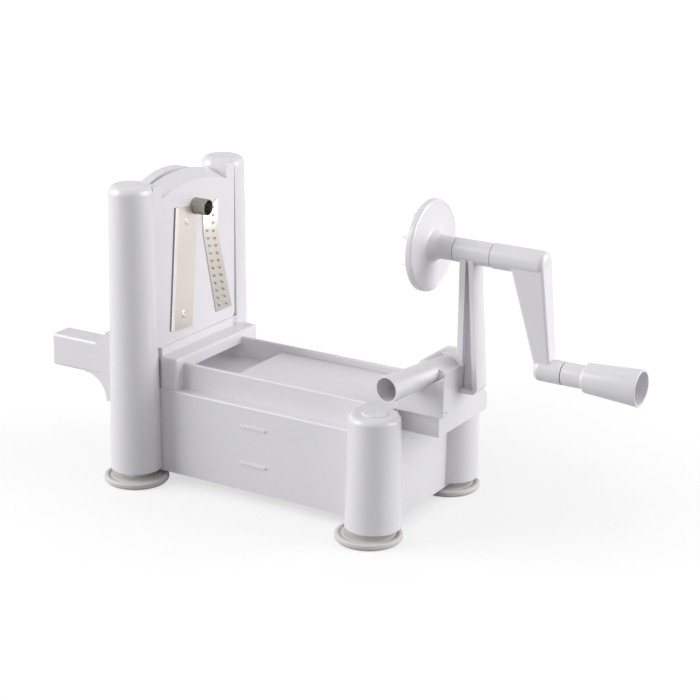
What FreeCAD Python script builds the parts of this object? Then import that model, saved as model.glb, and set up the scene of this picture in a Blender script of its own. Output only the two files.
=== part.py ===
import FreeCAD, Part
import Sketcher
import math
import os
from FreeCAD import Placement, Rotation, Vector

# Hand cranked spiral slicer, in millimetres.
# X runs along the base towards the crank, -Y is the front, Z is up.
# Sizes along X are measured from the middle of the four columns. Each finished piece is then
# moved along X, so that the origin lies on the table under the middle of the whole slicer.

DIMENSIONS = (
    # how far joined pieces run into each other and cutting tools run past a face
    ("lap", 1.0),
    # base and columns
    ("column_pitch_length", 201.2),
    ("column_pitch_width", 113.0),
    ("column_bottom", 10.5),
    ("tall_column_top", 222.0),
    ("tall_column_foot_radius", 18.8),
    ("tall_column_head_radius", 15.9),
    ("tall_column_dome", 6.0),
    ("column_sleeve_top", 91.0),
    ("column_sleeve_step", 0.35),
    ("column_wall", 2.6),
    ("column_floor", 4.0),
    ("column_bore_top", 84.0),
    ("short_column_top", 91.6),
    ("short_column_foot_radius", 19.6),
    ("short_column_head_radius", 17.9),
    ("short_column_round", 4.0),
    ("wall_height_bottom", 7.3),
    ("ledge_height", 71.2),
    ("body_half_width", 46.9),
    ("body_end_margin", 4.9),
    ("sled_half_width", 35.0),
    ("body_wall", 2.5),
    ("channel_floor_height", 74.6),
    ("rail_height", 90.6),
    ("rail_wall", 2.8),
    ("rail_round", 1.2),
    ("ledge_round", 1.5),
    ("neck_length", 22.5),
    # bridge, tower and slot
    ("bridge_front", -70.0),
    ("bridge_ledge_depth", 14.0),
    ("bridge_ledge_height", 95.0),
    ("bridge_rear_overhang", 9.3),
    ("bridge_round", 2.0),
    ("tunnel_clearance", 0.7),
    ("seat_height", 101.0),
    ("arch_back", -113.0),
    ("arch_thickness", 8.0),
    ("arch_half_width", 45.0),
    ("arch_radius", 75.0),
    ("arch_centre_height", 147.0),
    ("window_half_width", 33.0),
    ("window_sill", 2.0),
    ("window_spring_height", 160.0),
    # side bar
    ("bar_end", -168.5),
    ("bar_width", 19.0),
    ("bar_bottom", 79.0),
    ("bar_height", 24.0),
    ("bar_corner", 2.0),
    ("bar_lower_curve", 19.0),
    ("bar_upper_curve", 9.0),
    # storage bays
    ("bay_centre", -4.6),
    ("bay_floor_height", 12.0),
    ("bay_pitch", 28.0),
    ("bay_shelf", 2.0),
    ("bay_clearance", 0.8),
    ("bay_mouth_height", 26.6),
    ("spare_front_gap", 0.3),
    ("catch_length", 21.8),
    ("catch_height", 1.3),
    ("catch_depth", 1.0),
    ("catch_lift", 1.3),
    # feet and plugs
    ("foot_radius", 23.7),
    ("foot_rim", 5.0),
    ("foot_hollow", 2.6),
    ("foot_lip", 2.6),
    ("foot_neck_radius", 9.0),
    ("foot_stem_radius", 5.0),
    ("foot_stem_head_radius", 7.0),
    ("foot_stem_head", 3.0),
    ("foot_shift", 3.3),
    ("stem_clearance", 0.1),
    ("plug_radius", 8.7),
    ("plug_cap", 1.0),
    ("plug_stem_radius", 7.4),
    ("plug_stem", 5.0),
    # blade cartridge
    ("cartridge_face", -86.0),
    ("cartridge_depth", 14.0),
    ("cartridge_half_width", 50.0),
    ("cartridge_shoulder", 118.5),
    ("cartridge_neck_half_width", 40.0),
    ("cartridge_arch_radius", 120.0),
    ("cartridge_arch_top", 115.0),
    ("cartridge_arch_rise", 5.5),
    ("cartridge_skin", 3.5),
    ("cartridge_rim", 4.0),
    ("cartridge_corner", 4.0),
    ("tongue_width", 4.0),
    ("tongue_thickness", 6.0),
    ("tongue_inset", 4.0),
    ("tongue_drop", 17.0),
    ("tongue_lift", 0.5),
    ("slot_clearance", 0.3),
    ("blade_thickness", 0.8),
    ("blade_lift", 0.8),
    ("blade_width", 22.7),
    ("blade_ground", 2.5),
    ("blade_ground_depth", 0.7),
    ("blade_length", 90.5),
    ("blade_tilt", 4.9),
    ("blade_centre_offset", -14.5),
    ("blade_centre_height", 52.8),
    ("blade_slot_width", 3.2),
    ("blade_slot_gap", 0.4),
    ("rivet_radius", 1.6),
    ("rivet_head_radius", 2.9),
    ("rivet_head", 0.5),
    ("rivet_margin", 11.0),
    ("rivet_depth", 2.0),
    ("rivet_pad_radius", 4.5),
    ("comb_thickness", 0.8),
    ("comb_head_left", 8.6),
    ("comb_head_left_rise", 8.2),
    ("comb_head_right", 27.8),
    ("comb_head_right_rise", 17.7),
    ("comb_knee_left", 9.6),
    ("comb_knee_right", 27.4),
    ("comb_knee_height", 71.6),
    ("comb_foot_left", 24.6),
    ("comb_foot_right", 45.0),
    ("comb_foot_height", 9.0),
    ("comb_tooth_width", 2.4),
    ("comb_tooth_length", 2.0),
    ("comb_tooth_height", 1.6),
    ("inner_row_foot", 29.3),
    ("inner_row_foot_height", 14.0),
    ("inner_row_tilt", 13.8),
    ("inner_row_length", 62.5),
    ("outer_row_foot", 38.4),
    ("outer_row_foot_height", 13.2),
    ("outer_row_tilt", 14.8),
    ("outer_row_length", 61.7),
    ("upper_row_foot", 22.3),
    ("upper_row_foot_height", 78.8),
    ("upper_row_tilt", 3.0),
    ("upper_row_length", 11.8),
    ("corer_radius", 6.0),
    ("corer_wall", 0.7),
    ("corer_reach", 12.0),
    ("corer_clearance", 0.4),
    ("shaft_height", 197.0),
    # carriage
    ("sled_left", -33.0),
    ("sled_right", 138.0),
    ("sled_height", 85.0),
    ("sled_floor_gap", 0.4),
    ("sled_wall", 2.5),
    ("rail_clearance", 0.4),
    ("saddle_left", 106.0),
    ("saddle_right", 143.2),
    ("saddle_front", -39.6),
    ("saddle_left_top", 97.8),
    ("saddle_top", 119.2),
    ("saddle_corner_height", 4.0),
    ("saddle_corner_length", 6.0),
    ("saddle_round", 0.8),
    ("end_wall_high", 98.0),
    ("end_wall_low", 92.0),
    ("end_wall_step", -16.0),
    ("end_wall_chamfer", 6.0),
    ("boss_left", 112.0),
    ("boss_front", -28.5),
    ("boss_rear", 10.0),
    ("boss_top", 118.0),
    ("root_left", 115.0),
    ("root_front", -27.0),
    ("root_shoulder", 119.0),
    ("root_ridge_left", 118.5),
    ("root_ridge_right", 121.5),
    ("root_top", 124.8),
    ("root_toe", 116.0),
    ("root_round", 2.5),
    ("handle_mouth_x", 117.9),
    ("handle_mouth_y", -72.0),
    ("handle_height", 116.3),
    ("handle_length", 68.0),
    ("handle_turn", 8.7),
    ("handle_front_radius", 9.35),
    ("handle_back_radius", 7.8),
    ("handle_wall", 1.35),
    ("handle_bore_depth", 52.0),
    # post
    ("post_front", 134.6),
    ("post_flange", 4.8),
    ("post_half_width", 7.0),
    ("post_web", 3.0),
    ("post_head_right", 144.6),
    ("post_heel_right", 151.6),
    ("post_heel_height", 99.0),
    ("post_heel_round", 5.0),
    ("post_heel_gap", 0.4),
    ("post_rear_flange", 3.6),
    ("post_foot_left", 124.0),
    ("post_foot_height", 8.0),
    ("foot_space_gap", 0.3),
    ("post_flange_round", 1.0),
    ("tenon_left", 125.5),
    ("tenon_right", 136.0),
    ("tenon_half_width", 5.5),
    ("tenon_length", 16.0),
    ("socket_clearance", 0.1),
    ("bearing_left", 129.6),
    ("bearing_length", 27.3),
    ("bearing_radius", 8.2),
    ("running_clearance", 0.1),
    ("post_screw_radius", 2.0),
    ("post_screw_length", 19.0),
    ("post_screw_grip", 10.0),
    ("post_screw_head_radius", 3.6),
    ("post_screw_head", 2.2),
    ("screw_recess_clearance", 0.3),
    ("screw_end_gap", 0.5),
    ("screw_crown_share", 0.8),
    ("screw_rim_share", 0.6),
    # crank
    ("shaft_radius", 4.5),
    ("shaft_right", 178.0),
    ("end_gap", 0.7),
    ("crank_hub_radius", 8.6),
    ("crank_hub_right", 196.5),
    ("crank_hub_round", 4.0),
    ("crank_radius", 72.2),
    ("arm_head_left", 171.0),
    ("arm_head_right", 196.2),
    ("arm_head_half", 7.5),
    ("arm_foot_left", 192.4),
    ("arm_foot_right", 204.0),
    ("arm_foot_half", 5.4),
    ("arm_round", 2.0),
    ("elbow_left", 191.0),
    ("elbow_right", 211.7),
    ("elbow_radius", 8.0),
    ("elbow_round", 4.5),
    ("spigot_radius", 4.5),
    ("spigot_length", 17.3),
    # grip
    ("grip_gap", 0.4),
    ("grip_neck_radius", 7.9),
    ("grip_web_length", 16.5),
    ("grip_neck_length", 14.5),
    ("grip_shoulder_length", 2.0),
    ("grip_sleeve_radius", 10.1),
    ("grip_mouth_radius", 12.5),
    ("grip_right", 267.0),
    ("grip_wall", 1.5),
    ("grip_washer_radius", 7.0),
    ("grip_washer_thickness", 1.2),
    ("grip_screw_radius", 2.0),
    ("grip_screw_length", 12.0),
    ("grip_screw_head_radius", 3.8),
    ("grip_screw_head", 2.4),
    # spiked disc
    ("disc_left", 106.5),
    ("disc_thickness", 5.2),
    ("disc_radius", 31.6),
    ("disc_edge_round", 0.8),
    ("disc_cone_radius", 12.0),
    ("disc_cone_length", 7.0),
    ("disc_hub_radius", 8.0),
    ("disc_recess_radius", 5.6),
    ("disc_recess_depth", 3.2),
    ("disc_web", 3.0),
    ("prong_circle", 24.3),
    ("prong_inner_circle", 13.0),
    ("prong_length", 7.5),
    ("prong_radius", 2.0),
    ("prong_tip_radius", 0.35),
    ("prong_phase", 22.5),
    ("disc_washer_radius", 5.2),
    ("disc_washer_thickness", 0.8),
    ("disc_screw_radius", 1.8),
    ("disc_screw_length", 12.0),
    ("disc_screw_head_radius", 3.8),
    ("disc_screw_head", 2.2),
)
PRONG_COUNT = 8
INNER_PRONG_COUNT = 4
INNER_ROW_TEETH = 11
OUTER_ROW_TEETH = 11
UPPER_ROW_TEETH = 3
PICKING_REACH = 0.5

document = FreeCAD.newDocument("spiral_slicer")
sheet = document.addObject("Spreadsheet::Sheet", "sizes")


class Size:
    """A length that keeps its formula on the sheet beside its present value."""

    def __init__(self, formula, value):
        self.formula = formula
        self.value = value

    def combine(self, sign, other):
        other = as_size(other)
        value = {
            "+": lambda: self.value + other.value,
            "-": lambda: self.value - other.value,
            "*": lambda: self.value * other.value,
            "/": lambda: self.value / other.value,
        }[sign]()
        return Size("(" + self.formula + " " + sign + " " + other.formula + ")", value)

    def __add__(self, other):
        return self.combine("+", other)

    def __radd__(self, other):
        return as_size(other).combine("+", self)

    def __sub__(self, other):
        return self.combine("-", other)

    def __rsub__(self, other):
        return as_size(other).combine("-", self)

    def __mul__(self, other):
        return self.combine("*", other)

    def __rmul__(self, other):
        return as_size(other).combine("*", self)

    def __truediv__(self, other):
        return self.combine("/", other)

    def __neg__(self):
        return as_size(0).combine("-", self)


def as_size(number):
    if isinstance(number, Size):
        return number
    return Size("(" + repr(float(number)) + ")", float(number))


class Sizes:
    """Every driving dimension by name."""


size = Sizes()
for row, (name, value) in enumerate(DIMENSIONS, start=1):
    sheet.set("A%d" % row, name)
    sheet.set("B%d" % row, str(value))
    sheet.setAlias("B%d" % row, name)
    setattr(size, name, Size("sizes." + name, value))
document.recompute()
lap = size.lap
frame_middle = (size.bar_end + size.grip_right) / 2

SUB_PARTS = []
TURN_TO_X = Rotation(Vector(0, 1, 0), 90)
TURN_TO_LEFT = Rotation(Vector(0, 1, 0), -90)
TURN_TO_FRONT = Rotation(Vector(1, 0, 0), 90)
UPRIGHT = Rotation()
STANDING = Rotation(Vector(1, 1, 1), 120)
LYING = Rotation(Vector(1, 1, 1), -120)
DIRECTIONS = {"x": TURN_TO_X, "-x": TURN_TO_LEFT, "-y": TURN_TO_FRONT, "z": UPRIGHT}


def bind(thing, prop, length):
    thing.setExpression(prop, as_size(length).formula)


def place(thing, x, y, z, rotation=UPRIGHT):
    thing.Placement = Placement(Vector(as_size(x).value, as_size(y).value, as_size(z).value), rotation)
    bind(thing, ".Placement.Base.x", x)
    bind(thing, ".Placement.Base.y", y)
    bind(thing, ".Placement.Base.z", z)
    return thing


def box(name, low, high):
    """A block between two corners."""
    block = document.addObject("Part::Box", name)
    for prop, start, stop in zip(("Length", "Width", "Height"), low, high):
        bind(block, prop, as_size(stop) - start)
    return place(block, *low)


def rod(name, direction, start, radius, length):
    """A cylinder that leaves its start point along a direction."""
    cylinder = document.addObject("Part::Cylinder", name)
    bind(cylinder, "Radius", radius)
    bind(cylinder, "Height", length)
    return place(cylinder, *start, DIRECTIONS[direction])


def taper(name, direction, start, start_radius, end_radius, length):
    """A cone frustum that leaves its start point along a direction."""
    cone = document.addObject("Part::Cone", name)
    bind(cone, "Radius1", start_radius)
    bind(cone, "Radius2", end_radius)
    bind(cone, "Height", length)
    return place(cone, *start, DIRECTIONS[direction])


def join(name, *pieces):
    union = document.addObject("Part::MultiFuse", name)
    union.Shapes = list(pieces)
    union.Refine = True
    return union


def cut(name, base, *tools):
    """The base less every tool."""
    difference = document.addObject("Part::Cut", name)
    difference.Base = base
    difference.Tool = tools[0] if len(tools) == 1 else join(name + "_tools", *tools)
    difference.Refine = True
    return difference


def overlap(name, first, second):
    shared = document.addObject("Part::Common", name)
    shared.Base = first
    shared.Tool = second
    return shared


def soften(name, base, radius, chosen):
    """Rounds the edges that the test picks by their middle point and direction."""
    document.recompute()
    rounded = document.addObject("Part::Fillet", name)
    rounded.Base = base
    edges = []
    for index, edge in enumerate(base.Shape.Edges, start=1):
        middle = edge.valueAt((edge.FirstParameter + edge.LastParameter) / 2)
        if chosen(middle, edge):
            edges.append((index, radius.value, radius.value))
    rounded.Edges = edges
    return rounded


def near(number, length):
    return abs(number - as_size(length).value) < PICKING_REACH


def runs_along(edge, axis):
    return abs(getattr(edge.tangentAt(edge.FirstParameter), axis)) > 0.9


def outline(name, points, origin, rotation):
    """A closed sketch of straight lines; each corner is tied to the sheet."""
    sketch = document.addObject("Sketcher::SketchObject", name)
    tie_corners(sketch, points)
    return place(sketch, *origin, rotation)


def tie_corners(sketch, points):
    corners = [(as_size(across), as_size(along)) for across, along in points]
    count = len(corners)
    for index in range(count):
        start, stop = corners[index], corners[(index + 1) % count]
        line = Part.LineSegment(Vector(start[0].value, start[1].value, 0), Vector(stop[0].value, stop[1].value, 0))
        sketch.addGeometry(line, False)
    for index in range(count):
        sketch.addConstraint(Sketcher.Constraint("Coincident", index, 2, (index + 1) % count, 1))
    for index, corner in enumerate(corners):
        for kind, length in zip(("DistanceX", "DistanceY"), corner):
            number = sketch.addConstraint(Sketcher.Constraint(kind, -1, 1, index, 1, length.value))
            label = "%s_%d" % (kind.lower(), index)
            sketch.renameConstraint(number, label)
            bind(sketch, ".Constraints." + label, length)


def slab(name, points, origin, rotation, thickness):
    """A straight-sided outline given a thickness along its own normal."""
    prism = document.addObject("Part::Extrusion", name)
    prism.Base = outline(name + "_outline", points, origin, rotation)
    prism.DirMode = "Normal"
    prism.Solid = True
    bind(prism, "LengthFwd", thickness)
    return prism


def turned(name, points):
    """A body turned about its own Z axis from an outline of radius and height."""
    body = document.addObject("PartDesign::Body", name)
    sketch = sketch_on(body, name + "_outline", "XZ_Plane")
    tie_corners(sketch, points)
    document.recompute()
    revolution = body.newObject("PartDesign::Revolution", name + "_turning")
    revolution.Profile = sketch
    revolution.ReferenceAxis = (sketch, ["V_Axis"])
    revolution.Angle = 360.0
    body.Tip = revolution
    return body


def sketch_on(body, name, role):
    """An empty sketch on one of the body's own origin planes."""
    plane = [item for item in body.Origin.OriginFeatures if item.Role == role][0]
    sketch = body.newObject("Sketcher::SketchObject", name)
    sketch.AttachmentSupport = [(plane, "")]
    sketch.MapMode = "FlatFace"
    return sketch


def pad(body, sketch, thickness, reverse=False):
    feature = body.newObject("PartDesign::Pad", sketch.Name + "_pad")
    feature.Profile = sketch
    bind(feature, "Length", thickness)
    feature.Reversed = reverse
    body.Tip = feature
    return feature


def sine(angle):
    return Size("sin(" + angle.formula + ")", math.sin(math.radians(angle.value)))


def cosine(angle):
    return Size("cos(" + angle.formula + ")", math.cos(math.radians(angle.value)))


def leaning(centre, angle, across, along):
    """A point given across and along a line that leans towards +Y as it rises."""
    lean, rise = sine(angle), cosine(angle)
    return (centre[0] + rise * across + lean * along, centre[1] - lean * across + rise * along)


def keep(label, thing):
    """Moves a finished sub-part to the common origin and names its file."""
    start = dict(thing.ExpressionEngine).get(".Placement.Base.x", "0")
    thing.setExpression(".Placement.Base.x", "(" + start + ") - " + frame_middle.formula)
    thing.Label = label
    SUB_PARTS.append((label, thing))
    return thing


# Columns of the base.

def fraction_of_column(height):
    return (height - size.column_bottom) / (size.tall_column_top - size.column_bottom)


def domed_shank(name, x, y, bottom):
    height = size.tall_column_top - size.column_bottom
    column = taper(
        name + "_shank", "z", (x, y, bottom),
        size.tall_column_foot_radius - size.column_sleeve_step, size.tall_column_head_radius, height,
    )
    return soften(
        name + "_domed", column, size.tall_column_dome,
        lambda middle, edge: near(middle.z, bottom + height) and edge.Closed,
    )


def tall_column(name, x, y):
    radius_change = size.tall_column_head_radius - size.tall_column_foot_radius
    sleeve_radius = size.tall_column_foot_radius + radius_change * fraction_of_column(size.column_sleeve_top)
    domed = domed_shank(name, x, y, size.column_bottom)
    sleeve = taper(
        name + "_sleeve", "z", (x, y, size.column_bottom),
        size.tall_column_foot_radius, sleeve_radius,
        size.column_sleeve_top - size.column_bottom,
    )
    return join(name, domed, sleeve)


def short_column(name, x, y):
    column = taper(
        name + "_shank", "z", (x, y, size.column_bottom),
        size.short_column_foot_radius, size.short_column_head_radius,
        size.short_column_top - size.column_bottom,
    )
    return soften(
        name, column, size.short_column_round,
        lambda middle, edge: near(middle.z, size.short_column_top) and edge.Closed,
    )


def column_hollows(name, x, y, foot_x, foot_radius):
    floor_top = size.column_bottom + size.column_floor
    inner_radius = foot_radius - size.column_wall
    hollow = taper(
        name + "_hollow", "z", (x, y, floor_top),
        inner_radius, inner_radius - size.column_floor / 4,
        size.column_bore_top - floor_top,
    )
    stem_hole = rod(
        name + "_stem_hole", "z", (foot_x, y, size.column_bottom - lap),
        size.foot_stem_radius + size.stem_clearance, size.column_floor + lap * 2,
    )
    return [hollow, stem_hole]


half_length = size.column_pitch_length / 2
half_width = size.column_pitch_width / 2
body_end = half_length + size.body_end_margin
inner_half_width = size.body_half_width - size.body_wall
rail_outside = size.sled_half_width + size.rail_clearance + size.rail_wall
rail_inside = size.sled_half_width + size.rail_clearance
bridge_back = size.bridge_front - size.bridge_ledge_depth
bridge_rear = size.body_half_width + size.bridge_rear_overhang
crank_foot_x = half_length - size.foot_shift
COLUMNS = (
    ("front_blade", -half_length, -half_width, -half_length),
    ("rear_blade", -half_length, half_width, -half_length),
    ("front_crank", half_length, -half_width, crank_foot_x),
    ("rear_crank", half_length, half_width, crank_foot_x),
)

solid_parts = []
hollow_parts = []
for place_name, column_x, column_y, foot_x in COLUMNS:
    name = "column_" + place_name
    if place_name.endswith("blade"):
        solid_parts.append(tall_column(name, column_x, column_y))
        foot_radius = size.tall_column_foot_radius
    else:
        solid_parts.append(short_column(name, column_x, column_y))
        foot_radius = size.short_column_foot_radius
        hollow_parts.append(rod(
            name + "_plug_hole", "z", (column_x, column_y, size.short_column_top - size.plug_stem),
            size.plug_stem_radius, size.plug_stem + lap,
        ))
    hollow_parts += column_hollows(name, column_x, column_y, foot_x, foot_radius)

# Body shell, channel and rails.

shell = box(
    "shell",
    (-body_end, -size.body_half_width, size.wall_height_bottom),
    (body_end, size.body_half_width, size.ledge_height),
)
channel_floor = box(
    "channel_floor",
    (size.arch_back, -rail_outside, size.ledge_height - size.body_wall),
    (body_end, rail_outside, size.channel_floor_height),
)
shell_hollow = box(
    "shell_hollow",
    (size.body_wall - body_end, -inner_half_width, size.wall_height_bottom - lap),
    (body_end - size.body_wall, inner_half_width, size.ledge_height - size.body_wall),
)
shell_rounded = soften(
    "shell_rounded", shell, size.ledge_round,
    lambda middle, edge: near(middle.z, size.ledge_height) and runs_along(edge, "x"),
)
solid_parts += [cut("shell_walls", shell_rounded, shell_hollow), channel_floor]
for side, low, high in (("front", -rail_outside, -rail_inside), ("rear", rail_inside, rail_outside)):
    rail = box(
        "rail_" + side,
        (size.bridge_front - lap, low, size.channel_floor_height - lap),
        (body_end, high, size.rail_height),
    )
    solid_parts.append(soften(
        "rail_rounded_" + side, rail, size.rail_round,
        lambda middle, edge: near(middle.z, size.rail_height) and runs_along(edge, "x"),
    ))
for side, low, high in (("front", -half_width, -rail_inside), ("rear", rail_inside, half_width)):
    solid_parts.append(box(
        "neck_" + side,
        (body_end - size.neck_length, low, size.ledge_height - size.body_wall),
        (body_end, high, size.rail_height),
    ))

# Bridge under the blade, with the tunnel for the sliding plate.

bridge = box(
    "bridge",
    (bridge_back, -size.body_half_width, size.ledge_height - lap),
    (size.bridge_front, size.body_half_width, size.bridge_ledge_height),
)
bridge_end = box(
    "bridge_end",
    (bridge_back, size.body_half_width - lap, size.channel_floor_height),
    (size.bridge_front, bridge_rear, size.bridge_ledge_height),
)


def on_bridge_front(middle, edge):
    """The outer edges of the bridge, less those that meet its rear end."""
    top_front = near(middle.x, size.bridge_front) and near(middle.z, size.bridge_ledge_height)
    return top_front or near(middle.y, -size.body_half_width) and not near(middle.x, bridge_back)


def on_bridge_rear(middle, edge):
    top_front = near(middle.x, size.bridge_front) and near(middle.z, size.bridge_ledge_height)
    return top_front or near(middle.y, bridge_rear) and not near(middle.x, bridge_back)


seat_beam = box(
    "seat_beam",
    (size.arch_back, -size.arch_half_width, size.ledge_height - lap),
    (bridge_back, size.arch_half_width, size.seat_height),
)
tunnel = box(
    "tunnel",
    (size.arch_back - lap, -size.sled_half_width - size.tunnel_clearance, size.channel_floor_height),
    (size.bridge_front + lap, size.sled_half_width + size.tunnel_clearance, size.sled_height + size.tunnel_clearance),
)
bridge_parts = [
    soften("bridge_rounded", bridge, size.bridge_round, on_bridge_front),
    soften("bridge_end_rounded", bridge_end, size.bridge_round, on_bridge_rear),
    seat_beam,
]
solid_parts.append(cut("tunnelled_bridge", join("bridge_block", *bridge_parts), tunnel))

# Arched rear wall between the tall columns.

arch_disc = rod(
    "arch_disc", "x", (size.arch_back, 0, size.arch_centre_height), size.arch_radius, size.arch_thickness,
)
arch_sheet = box(
    "arch_sheet",
    (size.arch_back, -size.arch_half_width, size.seat_height - lap),
    (size.arch_back + size.arch_thickness, size.arch_half_width, size.tall_column_top + lap),
)
window_low = box(
    "window_low",
    (size.arch_back - lap, -size.window_half_width, size.seat_height + size.window_sill),
    (size.arch_back + size.arch_thickness + lap, size.window_half_width, size.window_spring_height),
)
window_round = rod(
    "window_round", "x", (size.arch_back - lap, 0, size.window_spring_height),
    size.window_half_width, size.arch_thickness + lap * 2,
)
solid_parts.append(cut("rear_arch", overlap("arch_blank", arch_disc, arch_sheet), window_low, window_round))

# Grip bar beside the front tall column.

bar_front = -half_width - size.bar_width / 2
bar_back = -half_width + size.bar_width / 2
bar_top = size.bar_bottom + size.bar_height
column_side = -half_length - size.tall_column_foot_radius
bar_block = box("bar_block", (size.bar_end, bar_front, size.bar_bottom), (-half_length, bar_back, bar_top))
bar_rounded = soften(
    "bar_rounded", bar_block, size.bar_corner,
    lambda middle, edge: near(middle.x, size.bar_end) or runs_along(edge, "x"),
)
lower_curve = size.bar_lower_curve
lower_fillet = cut(
    "bar_lower_fillet",
    box(
        "bar_lower_block",
        (column_side - lower_curve, bar_front, size.bar_bottom - lower_curve),
        (-half_length, bar_back, size.bar_bottom + lap),
    ),
    rod(
        "bar_lower_round", "-y", (column_side - lower_curve, bar_back + lap, size.bar_bottom - lower_curve),
        lower_curve, size.bar_width + lap * 2,
    ),
)
upper_curve = size.bar_upper_curve
upper_fillet = cut(
    "bar_upper_fillet",
    box(
        "bar_upper_block",
        (column_side - upper_curve, bar_front, bar_top - size.bar_corner),
        (-half_length, bar_back, bar_top + upper_curve),
    ),
    rod(
        "bar_upper_round", "-y", (column_side - upper_curve, bar_back + lap, bar_top + upper_curve),
        upper_curve, size.bar_width + lap * 2,
    ),
)
solid_parts += [bar_rounded, lower_fillet, upper_fillet]

# Two storage bays for the spare cartridges, with their catches.

bay_half = size.cartridge_half_width + size.tongue_width + size.bay_clearance
bay_left = size.bay_centre - bay_half
bay_right = size.bay_centre + bay_half
for index in range(2):
    floor_height = size.bay_floor_height + size.bay_pitch * index
    solid_parts.append(box(
        "bay_shelf_%d" % (index + 1),
        (bay_left - size.bay_shelf, -inner_half_width - lap, floor_height - size.bay_shelf),
        (bay_right + size.bay_shelf, inner_half_width + lap, floor_height),
    ))
    hollow_parts.append(box(
        "bay_mouth_%d" % (index + 1),
        (bay_left, inner_half_width - lap, floor_height),
        (bay_right, size.body_half_width + lap, floor_height + size.bay_mouth_height),
    ))
    catch_bottom = floor_height + size.cartridge_depth + size.catch_lift
    solid_parts.append(box(
        "catch_%d" % (index + 1),
        (size.bay_centre - size.catch_length / 2, -size.body_half_width - size.catch_depth, catch_bottom),
        (size.bay_centre + size.catch_length / 2, -size.body_half_width + lap, catch_bottom + size.catch_height),
    ))
for side, start in (("left", bay_left - size.bay_shelf), ("right", bay_right)):
    solid_parts.append(box(
        "bay_side_" + side,
        (start, -inner_half_width - lap, size.bay_floor_height - size.bay_shelf),
        (start + size.bay_shelf, inner_half_width + lap, size.ledge_height - lap),
    ))

# Slots that hold the blade cartridge between the tall columns.

cartridge_back = size.cartridge_face - size.cartridge_depth
slot_half_width = size.cartridge_half_width + size.slot_clearance
hollow_parts.append(box(
    "cartridge_space",
    (cartridge_back - size.slot_clearance, -slot_half_width, size.seat_height),
    (size.bridge_front, slot_half_width, size.tall_column_top + lap),
))
tongue_front = size.cartridge_face - size.tongue_inset
tongue_reach = slot_half_width + size.tongue_width
hollow_parts.append(box(
    "tongue_grooves",
    (tongue_front - size.tongue_thickness - size.slot_clearance, -tongue_reach, size.seat_height),
    (tongue_front + size.slot_clearance, tongue_reach, size.tall_column_top + lap),
))
keep("base_frame", cut("base_frame", join("base_solid", *solid_parts), *hollow_parts))

# Suction feet and the plugs on the short columns.

floor_top = size.column_bottom + size.column_floor
for place_name, column_x, column_y, foot_x in COLUMNS:
    foot = turned("foot_" + place_name, (
        (0, size.foot_hollow),
        (size.foot_radius - size.foot_lip - size.foot_hollow, size.foot_hollow),
        (size.foot_radius - size.foot_lip, 0),
        (size.foot_radius, 0),
        (size.foot_radius, size.foot_rim),
        (size.foot_neck_radius, size.foot_rim),
        (size.foot_neck_radius, size.column_bottom),
        (size.foot_stem_radius, size.column_bottom),
        (size.foot_stem_radius, floor_top),
        (size.foot_stem_head_radius, floor_top),
        (size.foot_stem_head_radius, floor_top + size.foot_stem_head),
        (0, floor_top + size.foot_stem_head),
    ))
    keep("foot_" + place_name, place(foot, foot_x, column_y, 0))
for place_name, column_x, column_y, foot_x in COLUMNS[2:]:
    plug = turned("column_plug_" + place_name, (
        (0, -size.plug_stem),
        (size.plug_stem_radius, -size.plug_stem),
        (size.plug_stem_radius, 0),
        (size.plug_radius, 0),
        (size.plug_radius, size.plug_cap),
        (0, size.plug_cap),
    ))
    keep("column_plug_" + place_name, place(plug, column_x, column_y, size.short_column_top))

# Blade cartridges; each is made standing with its face at X = 0 and its foot at Z = 0.

corer_height = size.shaft_height - size.seat_height


def rivet_points():
    reach = size.blade_length / 2 - size.rivet_margin
    centre = (size.blade_centre_offset, size.blade_centre_height)
    return [leaning(centre, size.blade_tilt, 0, reach), leaning(centre, size.blade_tilt, 0, -reach)]


tongue_height = size.tall_column_top - size.seat_height - size.tongue_drop


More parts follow.
